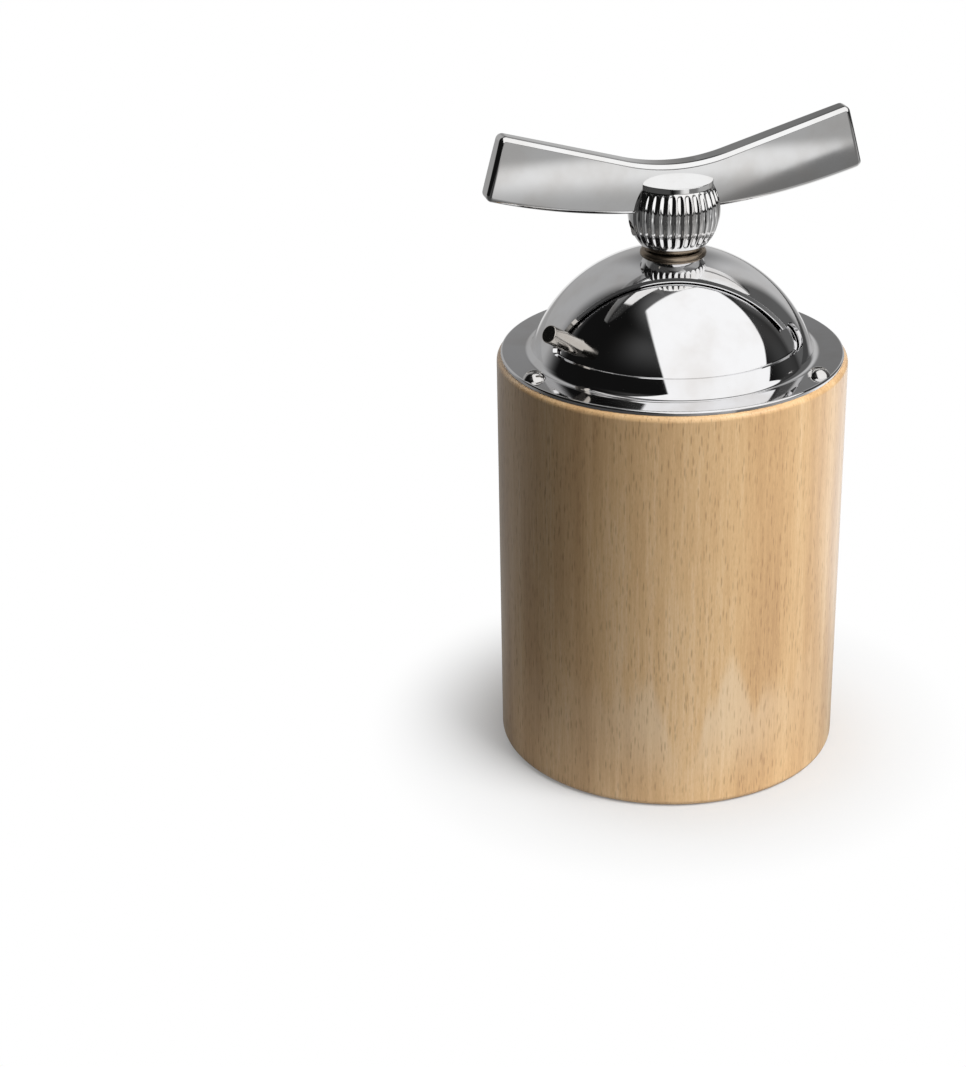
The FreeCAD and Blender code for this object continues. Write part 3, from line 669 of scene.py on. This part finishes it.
def blade_sides():
    """Outline of the blade in its own plane: foot bow, right end, top with its bend, left
    end. Each side runs from the middle of one rounded corner to the middle of the next,
    as (along, up) points with outward normals."""
    tilt = math.asin(BLADE_BEND_HALF / BLADE_BEND)
    bend_end = np.array([BLADE_BEND_HALF, BLADE_FOOT + BLADE_HEIGHT + BLADE_BEND * (1 - math.cos(tilt))])
    tip = np.array([BLADE_HALF_TOP, bend_end[1] + (BLADE_HALF_TOP - BLADE_BEND_HALF) * math.tan(tilt)])
    rise = BLADE_BOW - math.sqrt(BLADE_BOW ** 2 - BLADE_HALF_FOOT ** 2)
    heel = np.array([BLADE_HALF_FOOT, BLADE_FOOT + rise])
    heel_slope = math.asin(BLADE_HALF_FOOT / BLADE_BOW)
    end = unit(tip - heel)
    end_out = np.array([end[1], -end[0]])
    heel_out = np.array([math.sin(heel_slope), -math.cos(heel_slope)])
    top_out = np.array([-math.sin(tilt), math.cos(tilt)])
    bow_centre = np.array([0, BLADE_FOOT + BLADE_BOW])
    bend_centre = np.array([0, BLADE_FOOT + BLADE_HEIGHT + BLADE_BEND])
    low = corner_centre(heel, heel_out, end_out)
    high = corner_centre(tip, top_out, end_out)
    low_out = unit(low - bow_centre)
    low_middle, high_middle = unit(low_out + end_out), unit(end_out + top_out)

    a = np.linspace(-1, 1, 161) * math.atan2(low_out[0], -low_out[1])
    bow_out = pairs(np.sin(a), -np.cos(a))
    a = np.linspace(1, -1, 81) * tilt
    bend_out = pairs(-np.sin(a), np.cos(a))
    wall = between(low + BLADE_CORNER * end_out, high + BLADE_CORNER * end_out, 40)
    slope = between(high + BLADE_CORNER * top_out, bend_end, 40)

    heel_round = [corner_arc(low, low_out, low_middle)]
    foot_side = mirrored(heel_round) + [(bow_centre + BLADE_BOW * bow_out, bow_out)] + heel_round
    end_side = [corner_arc(low, low_middle, end_out), (wall, np.broadcast_to(end_out, wall.shape)),
                corner_arc(high, end_out, high_middle)]
    arm = [corner_arc(high, high_middle, top_out), (slope, np.broadcast_to(top_out, slope.shape))]
    top_side = arm + [(bend_centre - BLADE_BEND * bend_out, bend_out)] + mirrored(arm)
    return [joined_runs(side) for side in (foot_side, end_side, top_side, mirrored(end_side))]


def joined_runs(runs):
    """Runs of one side as one run, without the doubled ends."""
    return [np.concatenate([runs[0][k]] + [run[k][1:] for run in runs[1:]]) for k in (0, 1)]


def spread(side, count):
    """A side resampled evenly to a number of points, its ends kept."""
    length = np.r_[0, np.cumsum(np.linalg.norm(np.diff(side[0], axis=0), axis=1))]
    at = np.linspace(0, length[-1], count)
    points, normals = (pairs(*(np.interp(at, length, part) for part in v.T)) for v in side)
    return points, unit(normals)


def handle_shape():
    """Bent blade with faces crowned from foot to top. The face is a net stretched between
    the four sides of the inset outline: each point is the sum of the two side-to-side
    blends less the blend of the corners. A quarter round joins it to the edge."""
    outline = blade_sides()
    sides = [spread(side, count) for side, count in zip(outline, (260, 60, 260, 60))]
    middle = (BLADE_FOOT + outline[2][0][:, 1].max()) / 2
    inset = [points - BLADE_RIM * normals for points, normals in sides]
    low, right, high, left = inset[0], inset[1], inset[2][::-1], inset[3][::-1]
    u = np.linspace(0, 1, len(low))[None, :, None]
    v = np.linspace(0, 1, len(right))[:, None, None]
    net = (1 - v) * low[None] + v * high[None] + (1 - u) * left[:, None] + u * right[:, None] \
        - ((1 - u) * (1 - v) * low[0] + u * (1 - v) * low[-1] + (1 - u) * v * high[0] + u * v * high[-1])

    def crowned(p):
        """Points of the front face over points of the blade's plane, and its normals."""
        rise = p[..., 1] - middle
        lift = np.sqrt(BLADE_CROWN ** 2 - rise ** 2)
        points = np.stack([p[..., 0], lift - BLADE_CROWN + BLADE_THICKNESS / 2, p[..., 1]], -1)
        return points, np.stack([0 * rise, lift / BLADE_CROWN, rise / BLADE_CROWN], -1)

    axes = np.stack([direction(CRANK_REST, 0), direction(CRANK_REST - 90, 0), UPRIGHT[2]])
    shape = Shape()
    quarter = np.linspace(0, math.pi / 2, 9)[:, None, None]
    rows = np.linspace(-1, 1, 5)[:, None, None]
    for face in (1, -1):
        flip = np.array([1, face, 1])
        points, out = crowned(net)
        shape.grid(points * flip @ axes, out * flip @ axes)
    for line, (_, normals) in zip(inset, sides):
        points, out = crowned(line)
        centre = points - BLADE_RIM * out
        wall = np.insert(normals, 1, 0, axis=1)
        turn = unit(np.cos(quarter) * wall + np.sin(quarter) * out)
        for face in (1, -1):
            flip = np.array([1, face, 1])
            shape.grid((centre + BLADE_RIM * turn) * flip @ axes, turn * flip @ axes)
        edge = centre + BLADE_RIM * wall
        points = np.where(np.array([False, True, False]), edge * rows, edge[None])
        shape.grid(points @ axes, np.broadcast_to(wall, points.shape) @ axes)
    return shape


# Materials --------------------------------------------------------------------------


class Socket:
    """A value or colour in a material. Arithmetic on it adds Math nodes."""

    def __init__(self, board, socket):
        self.board = board
        self.socket = socket

    def __add__(self, other):
        return self.board.maths("ADD", self, other)

    def __sub__(self, other):
        return self.board.maths("SUBTRACT", self, other)

    def __rsub__(self, other):
        return self.board.maths("SUBTRACT", other, self)

    def __mul__(self, other):
        return self.board.maths("MULTIPLY", self, other)

    __radd__ = __add__
    __rmul__ = __mul__


class Board:
    """Node tree of one material or of the world."""

    def __init__(self, owner):
        owner.use_nodes = True
        self.tree = owner.node_tree
        self.tree.nodes.clear()

    def node(self, kind, inputs=(), output=0, stops=(), **settings):
        """One node: its settings and a ramp's stops first, then the values or links of its
        sockets. Gives one output, or a list of outputs for a tuple of their names."""
        made = self.tree.nodes.new("ShaderNode" + kind)
        for key, value in settings.items():
            setattr(made, key, value)
        if stops:
            ramp = made.color_ramp
            while len(ramp.elements) < len(stops):
                ramp.elements.new(0.5)
            for element, (place, colour) in zip(ramp.elements, stops):
                element.position = place
                element.color = (*colour, 1)
        for key, value in dict(inputs).items():
            if isinstance(value, Socket):
                self.tree.links.new(value.socket, made.inputs[key])
            else:
                made.inputs[key].default_value = value
        if isinstance(output, tuple):
            return [Socket(self, made.outputs[key]) for key in output]
        return Socket(self, made.outputs[output]) if made.outputs else None

    def maths(self, operation, *values, clamp=False):
        return self.node("Math", enumerate(values), operation=operation, use_clamp=clamp)

    def clamp(self, value):
        return self.maths("ADD", value, 0.0, clamp=True)

    def band(self, value, low, high):
        """0 below low, 1 above high, smooth between."""
        return self.node("MapRange", {"Value": value, "From Min": low, "From Max": high},
                         interpolation_type="SMOOTHSTEP")

    def coordinates(self):
        return self.node("TexCoord", output="Object")

    def axes(self, vector):
        return self.node("SeparateXYZ", {0: vector}, (0, 1, 2))

    def rays(self, *kinds):
        """Values that are 1 for the kinds of ray named."""
        return self.node("LightPath", output=tuple("Is %s Ray" % kind for kind in kinds))

    def place(self, scale, location=(0, 0, 0), rotation=(0, 0, 0)):
        """Object coordinates in millimetres, stretched."""
        return self.node("Mapping", {"Vector": self.coordinates(), "Scale": [s / MM for s in scale],
                                     "Location": location, "Rotation": rotation})

    def noise(self, where, detail=2.0, roughness=0.5):
        return self.node("TexNoise", {"Vector": where, "Scale": 1.0, "Detail": detail,
                                      "Roughness": roughness})

    def cells(self, where):
        """Distance from the middle of the nearest cell."""
        return self.node("TexVoronoi", {"Vector": where, "Scale": 1.0}, "Distance")

    def mix(self, share, first, second):
        """Colour from the first to the second, each a socket or three numbers."""
        first, second = (c if isinstance(c, Socket) else (*c, 1) for c in (first, second))
        return self.node("Mix", {0: share, 6: first, 7: second}, 2, data_type="RGBA")

    def bump(self, height, strength, distance):
        """Normal from a height of 0 to 1 that stands for a distance in millimetres."""
        return self.node("Bump", {"Height": height, "Strength": strength, "Distance": distance * MM})

    def glow(self, colour):
        return self.node("Emission", {"Color": colour})

    def show(self, shader):
        self.node("OutputMaterial", {"Surface": shader})

    def surface(self, **inputs):
        """Principled shader as the surface. Spaces in the names of its sockets are written
        as underscores."""
        self.show(self.node("BsdfPrincipled", {k.replace("_", " "): v for k, v in inputs.items()}))


def board_for(name):
    material = bpy.data.materials.new(name)
    return material, Board(material)


def polished(name, colour, rough):
    """Polished metal: faint polishing haze, tiny scratches and a hint of unevenness."""
    material, b = board_for(name)
    haze = b.noise(b.place((0.11, 0.11, 0.11)), 3.0, 0.55)
    fine = b.noise(b.place((5.5, 5.5, 5.5)), 2.0, 0.6)
    scratch = b.noise(b.place((9, 0.7, 9), rotation=(0.3, 0.2, 0.5)), 2.0, 0.6)
    cross = b.noise(b.place((0.8, 8, 8), rotation=(0.1, 0.6, 0.2)), 2.0, 0.6)
    lines = b.band(scratch, 0.66, 0.78) * 0.5 + b.band(cross, 0.66, 0.78) * 0.5
    worn = b.band(haze, 0.35, 0.75)
    b.surface(Base_Color=b.mix(worn, colour, np.multiply(colour, (0.9, 0.88, 0.86))), Metallic=1.0,
              Roughness=rough + 0.03 * worn + 0.05 * lines + 0.015 * fine,
              Normal=b.bump(haze * 0.8 + fine * 0.05 + lines * -0.06, 0.08, 0.04))
    return material


def turned_metal(name, colour, rough):
    """Machined metal: fine tool marks, stretched tightly across one direction."""
    material, b = board_for(name)
    marks = b.noise(b.place((0.6, 0.6, 9.0)), 3.0, 0.65)
    haze = b.noise(b.place((0.3, 0.3, 0.3)))
    b.surface(Base_Color=b.mix(b.band(marks, 0.3, 0.75), colour, np.multiply(colour, 0.72)), Metallic=1.0,
              Roughness=rough + 0.12 * marks + 0.08 * haze, Normal=b.bump(marks, 0.25, 0.03))
    return material


def cast_metal(name, colour, rough):
    """Hardened cast burr: grainy, darker in its hollows, worn lighter on the teeth."""
    material, b = board_for(name)
    grain = b.noise(b.place((3, 3, 3)), 4.0, 0.7)
    patch = b.noise(b.place((0.25, 0.25, 0.25)))
    worn = b.band(grain * 0.6 + patch * 0.4, 0.35, 0.65)
    b.surface(Base_Color=b.mix(worn, np.multiply(colour, 0.6), colour), Metallic=0.9,
              Roughness=rough + 0.2 * grain, Normal=b.bump(grain, 0.5, 0.06))
    return material


PITH = (10.0, 70.0, 0.03)  # x and y at the foot, and how far it slants per millimetre
RING_PITCH = 7.0
FLAME_MIDDLE = 9.3
FLAME_PITCH = 15.3


def beech(name):
    """Turned beech under satin lacquer. Growth rings are rings about a slanting pith line
    behind the body, bent by slow noise, so they run as soft upright bands. Pale flames
    stand at the foot up to a border that noise round the girth sets. Fibres are noise
    stretched along the grain. The short dark flecks are the middles of long thin cells."""
    material, b = board_for(name)
    x, y, z = (part * (1 / MM) for part in b.axes(b.coordinates()))
    slow = b.noise(b.place((0.022, 0.022, 0.008)))
    slower = b.noise(b.place((0.06, 0.06, 0.014), (7, 3, 1)))
    dx = x - PITH[0] + z * PITH[2]
    dy = y - PITH[1] - z * PITH[2]
    ring = b.maths("SQRT", dx * dx + dy * dy) + (slow - 0.5) * 16.0 + (slower - 0.5) * 6.0
    rings = b.band(b.maths("SINE", ring * (2 * math.pi / RING_PITCH)), -0.9, 0.9)
    fibre = b.noise(b.place((2.6, 2.6, 0.11)), 3.0, 0.66)
    streak = b.noise(b.place((0.50, 0.50, 0.014)), 3.0, 0.55)
    figure = b.noise(b.place((0.05, 0.05, 0.010), (3, 9, 4)))
    grain = b.noise(b.place((5.5, 5.5, 1.1), (2, 2, 7)), 2.0, 0.6)
    tone = b.clamp(0.12 * rings + 0.42 * streak + 0.42 * fibre + 0.28 * figure + 0.22 * grain - 0.23)
    colour = b.node("ValToRGB", {"Fac": tone}, stops=(
        (0.28, (0.52, 0.312, 0.148)), (0.45, (0.625, 0.392, 0.190)),
        (0.58, (0.70, 0.462, 0.234)), (0.78, (0.80, 0.585, 0.355))))

    border = b.noise(b.place((0.07, 0.07, 0.002), (1, 4, 0)), 2.0, 0.6)
    wave = b.maths("COSINE", (x - FLAME_MIDDLE) * (2 * math.pi / FLAME_PITCH)) * 4.5
    flame = 1.0 - b.band(z - wave - (border - 0.16) * 70.0 - (streak - 0.5) * 7.0, -4.0, 4.0)
    middle = 1.0 - b.band(b.maths("ABSOLUTE", x - 4.0), 6.0, 24.0)
    colour = b.mix(flame * b.band(z, 2.0, 20.0) * (0.08 + 0.40 * middle), colour, (0.80, 0.64, 0.445))

    crowd = b.band(b.noise(b.place((0.09, 0.09, 0.03), (9, 4, 2)), 1.0), 0.25, 0.60)
    fleck = 1.0 - b.band(b.cells(b.place((1.65, 1.65, 0.25))), 0.12, 0.36)
    fleck = fleck * (0.45 + 0.55 * crowd)
    pore = 1.0 - b.band(b.cells(b.place((2.9, 2.9, 0.42), (5, 1, 3))), 0.08, 0.34)
    colour = b.mix(pore * 0.24, colour, (0.34, 0.18, 0.075))
    colour = b.mix(fleck * 0.43, colour, (0.27, 0.135, 0.055))
    b.surface(Base_Color=colour, Roughness=0.36 + 0.10 * fibre + 0.08 * fleck, Coat_Weight=1.0,
              Coat_Roughness=0.26, Normal=b.bump(fibre * 0.5 - fleck * 0.5 - pore * 0.3, 0.20, 0.04))
    return material


CAP_STEEL = polished("cap_steel", (0.86, 0.86, 0.87), 0.035)
DOOR_STEEL = polished("door_steel", (0.88, 0.88, 0.89), 0.025)
KNOB_STEEL = polished("knob_steel", (0.58, 0.55, 0.51), 0.15)
HUB_STEEL = polished("hub_steel", (0.93, 0.93, 0.93), 0.05)
HANDLE_STEEL = polished("handle_steel", (0.88, 0.88, 0.88), 0.045)
SCREW_STEEL = polished("screw_steel", (0.78, 0.77, 0.76), 0.12)
SET_SCREW = turned_metal("set_screw_steel", (0.42, 0.40, 0.38), 0.3)
BRONZE = turned_metal("bearing_bronze", (0.36, 0.29, 0.22), 0.24)
PLAIN_STEEL = turned_metal("plain_steel", (0.60, 0.60, 0.61), 0.28)
SPRING_STEEL = turned_metal("spring_steel", (0.50, 0.50, 0.51), 0.24)
ROD_STEEL = turned_metal("rod_steel", (0.64, 0.64, 0.65), 0.18)
BURR_STEEL = cast_metal("burr_steel", (0.38, 0.37, 0.36), 0.42)
BEECH = beech("turned_beech")

CAD_FINISHES = (
    (PLAIN_STEEL, "door_ring bush_nut bearing_spider burr_plate hub_washer spring_washer burr_washer"),
    (SCREW_STEEL, "spider_screws burr_plate_screws door_knob_screw burr_screw"),
    (BURR_STEEL, "female_burr male_burr"),
    (BRONZE, "spider_bush"),
    (ROD_STEEL, "spindle"),
    (SET_SCREW, "hub_set_screw"),
    (SPRING_STEEL, "return_spring"),
)
for material, nodes in CAD_FINISHES:
    for node in nodes.split():
        frame["nodes"][node].data.materials[0] = material

piece(wooden_shape(), "wood_turned", "body", "wooden_body", BEECH)
piece(cap_shape(), "cap_sheet", "body", "dome_cap", CAP_STEEL)
piece(cap_screws_shape(), "cap_screw_heads", "body", "cap_screws", SCREW_STEEL)
piece(bush_shape(), "crown_collar", "body", "crown_bush", BRONZE)
piece(door_shape(), "door_sheet", "door", "dome_door", DOOR_STEEL)
piece(knob_shape(), "door_peg", "door", "door_knob", KNOB_STEEL)
piece(hub_shape(), "hub_fluted", "crank", "ribbed_hub", HUB_STEEL, set_screw_pin())
piece(handle_shape(), "handle_blade", "crank", "handle_bar", HANDLE_STEEL)


# Studio -----------------------------------------------------------------------------

# Camera of the picture: place in millimetres, angles in degrees, lens on a 36 mm frame
CAMERA_PLACE = (-27.2, -431.8, 247.4)
CAMERA_HEADING = 91.378
CAMERA_PITCH = -25.211
CAMERA_ROLL = -1.1995
CAMERA_LENS = 79.41

LAMP_DISTANCE = 1.1
LAMP_AIM = (0, 0, 0.08)
SCREEN_DISTANCE = 2.0
SCREEN_MIDDLE = (0, 0, 0.09)
FLOOR_HALF = 4.0
TONE_POWER = 2.2  # from a tone as a picture shows it to the amount of light


def set_up(name, data, axes, place):
    """Camera or lamp in the scene that looks against its third axis."""
    made = add_object(name, data)
    made.matrix_world = Matrix(np.stack([*axes, place], 1).tolist() + [[0, 0, 0, 1]])
    return made


def camera():
    data = bpy.data.cameras.new("camera")
    data.lens = CAMERA_LENS
    data.sensor_width = 36.0
    data.clip_start, data.clip_end = 0.01, 50.0
    ahead = direction(CAMERA_HEADING, CAMERA_PITCH)
    side = direction(CAMERA_HEADING - 90, 0)
    up = np.cross(side, ahead)
    roll = math.radians(CAMERA_ROLL)
    right = math.cos(roll) * side + math.sin(roll) * up
    top = math.cos(roll) * up - math.sin(roll) * side
    bpy.context.scene.camera = set_up("camera", data, (right, top, -ahead), np.array(CAMERA_PLACE) * MM)


def soft_lamp(name, azimuth, elevation, width, height, power):
    """Rectangular lamp that faces the mill. Metal shows the studio screens in its place."""
    data = bpy.data.lights.new(name, "AREA")
    data.shape = "RECTANGLE"
    data.size, data.size_y = width, height
    data.energy = power
    axes = pointing(azimuth, elevation)
    made = set_up(name, data, axes, axes[2] * LAMP_DISTANCE + np.array(LAMP_AIM))
    made.visible_glossy = False


def stage_mesh(name, points, faces, material):
    mesh = bpy.data.meshes.new(name)
    mesh.from_pydata(np.asarray(points).tolist(), [], np.asarray(faces).tolist())
    mesh.materials.append(material)
    made = add_object(name, mesh)
    return made


def step(value, low, high):
    """0 below low, 1 above high, smooth between."""
    s = np.clip((value - low) / (high - low), 0, 1)
    return s * s * (3 - 2 * s)


def spot(value, middle, reach):
    """1 at the middle, falling softly to 0 at the reach on either side."""
    return step(reach - np.abs(value - middle), 0, reach)


def room(azimuth, elevation):
    """Brightness of the studio round the mill as reflections show it. Azimuth is counted
    from the camera's side, positive to the right. A big softbox hangs overhead and to the
    right. The left is dark, and two pale walls stand far behind with a dark gap between."""
    side, ahead, up = np.moveaxis(direction(azimuth, elevation), -1, 0)
    rel = (azimuth + 90 + 180) % 360 - 180
    low = 1 - step(elevation, 35, 55)

    # Dark room with a paler ceiling, and soft glimmers to the right, in front and behind
    tone = 0.10 + 0.28 * step(elevation, 58, 78) + 0.15 * spot(rel, 106, 28) * low
    tone += 0.16 * step(rel, -85, -35) * (1 - step(rel, 0, 30)) * spot(elevation, 50, 26)
    tone += 0.40 * spot(rel, -138, 20) * spot(elevation, 55, 13)

    # Pale walls, darker upwards and towards the gap between them
    lean = 0.5 * np.maximum(elevation - 15, 0)
    left = 0.67 * step(-rel, 98 + lean, 130 + lean)
    left *= 1 - 0.45 * step(-rel, 160, 179) * step(elevation, 8, 34)
    right = 0.76 * step(rel, 128, 148) * (1 - 0.42 * step(rel, 152, 172) * step(elevation, 0, 26))
    right = np.maximum(right, 0.37 * step(rel, 106, 122) * (1 - step(elevation, 40, 60)))
    tone = np.maximum(tone, left * (1 - 0.4 * step(elevation, 45, 75)))
    tone = np.maximum(tone, right * (1 - 0.45 * step(elevation, 30, 60)))

    # Softbox on a level ceiling plane one unit up, cut off by four edges
    across, along = side / np.maximum(up, 0.02), ahead / np.maximum(up, 0.02)
    box = step(across + 0.323, -0.01, 0.03) * step(elevation, 1, 3)
    box *= step(np.minimum(0.235 + 0.7 * across, 0.56) - along, -0.01, 0.03)
    box *= step(0.593 - 0.162 * across - along, -0.01, 0.03)
    box *= step(0.914 - 0.317 * across - along, -0.03, 0.05)
    return tone ** TONE_POWER * (1 - box) + 1.05 * box


def studio_screens():
    """Curved screen seen only in reflections, which shows the room's brightness."""
    name = "studio_screens"
    azimuth, elevation = np.meshgrid(np.linspace(-180, 180, 721), np.linspace(-6, 90, 193))
    points = direction(azimuth, elevation).reshape(-1, 3) * SCREEN_DISTANCE + np.array(SCREEN_MIDDLE)
    material, b = board_for(name)
    b.show(b.glow(b.node("Attribute", output="Fac", attribute_name="level")))
    made = stage_mesh(name, points, grid_quads(*azimuth.shape), material)
    level = made.data.attributes.new("level", "FLOAT", "POINT")
    level.data.foreach_set("value", room(azimuth, elevation).astype(np.float32).ravel())
    for kind in ("camera", "diffuse", "shadow", "transmission"):
        setattr(made, "visible_" + kind, False)


def floor():
    """Pale floor. Far from the mill the camera sees it as plain white, and close to it
    the floor is a matt surface that keeps the shadow. Metal sees a glow with painted light
    and shade instead: a painted pool of softbox light in front on the right, dim elsewhere."""
    material, b = board_for("pale_floor")
    where = b.coordinates()
    x, y, _ = b.axes(where)
    front = y * -1.0
    off = b.maths("ABSOLUTE", x)
    away = b.node("VectorMath", {0: where}, "Value", operation="LENGTH")
    painted_patch_distance = b.node("VectorMath", {0: where, 1: (0.24, -0.36, 0)}, "Value", operation="DISTANCE")

    # Matt floor near the mill
    pale = b.mix(b.noise(b.place((0.05, 0.05, 0.05))) * 0.2, (0.61, 0.61, 0.61), (0.59, 0.59, 0.59))
    shade = b.mix(b.band(away, 0.045, 0.085), pale, (0.16, 0.16, 0.16))
    matt = b.node("BsdfDiffuse", {"Color": shade})

    # Painted light and shade that metal sees: sides and back, the lit patch, the mill's own
    # painted shadow, far behind
    right = b.band(x, -0.10, 0.12)
    back = b.band(y, -0.02, 0.06)
    tone = (0.28 + 0.22 * back) * (1.0 - right) + 0.66 * right
    tone = tone + 0.36 * back * right * (1.0 - b.band(x, 0.20, 0.32))
    tone = tone - 0.20 * b.band(front, 0.08, 0.18) * b.band(x, 0.05, 0.12)
    # Painted pool of softbox light on the floor in front on the right, brightest at its middle
    painted_lit_patch = b.band(front - x * 0.93, 0.052, 0.060) * b.band(x, 0.07, 0.12)
    tone = tone * (1.0 - painted_lit_patch) + (0.66 + 0.26 * (1.0 - b.band(painted_patch_distance, 0.04, 0.17))) * painted_lit_patch
    tone = tone - 0.22 * b.band(front, 0.22, 0.32) * (1.0 - b.band(off, 0.05, 0.12))
    behind = 0.93 - 0.30 * b.band(off, 0.08, 0.22) - 0.35 * b.band(x, 0.30, 0.50)
    share = b.band(y, 0.12, 0.40)
    tone = tone * (1.0 - share) + behind * share
    level = b.maths("POWER", b.maths("MAXIMUM", tone, 0.02), TONE_POWER)

    # Reflections see the painted light and shade as a glow; the camera sees the matt floor fading to white
    seen, glossy = b.rays("Camera", "Glossy")
    mixed = b.node("MixShader", {0: seen * b.band(away, 0.021, 0.064), 1: matt, 2: b.glow((1, 1, 1, 1))})
    b.show(b.node("MixShader", {0: glossy, 1: mixed, 2: b.glow(b.clamp(level))}))
    corners = np.array([(-1, -1, 0), (1, -1, 0), (1, 1, 0), (-1, 1, 0)]) * FLOOR_HALF
    stage_mesh("floor", corners, [(0, 1, 2, 3)], material)


def world():
    """White to the camera and in metal, softer for the light that falls on the mill."""
    made = bpy.data.worlds.new("studio")
    bpy.context.scene.world = made
    b = Board(made)
    seen, glossy, through = b.rays("Camera", "Glossy", "Transmission")
    share = b.maths("MAXIMUM", b.maths("MAXIMUM", seen, glossy), through)
    sky = b.node("Background", {"Color": b.mix(share, (0.07, 0.07, 0.07), (1, 1, 1))})
    b.node("OutputWorld", {"Surface": sky})


camera()
floor()
world()
soft_lamp("softbox", -35.0, 44.0, 0.7, 0.7, 20.5)
soft_lamp("fill", 125.0, 28.0, 0.9, 0.7, 4.5)
studio_screens()

bpy.context.scene.view_settings.view_transform = "Standard"
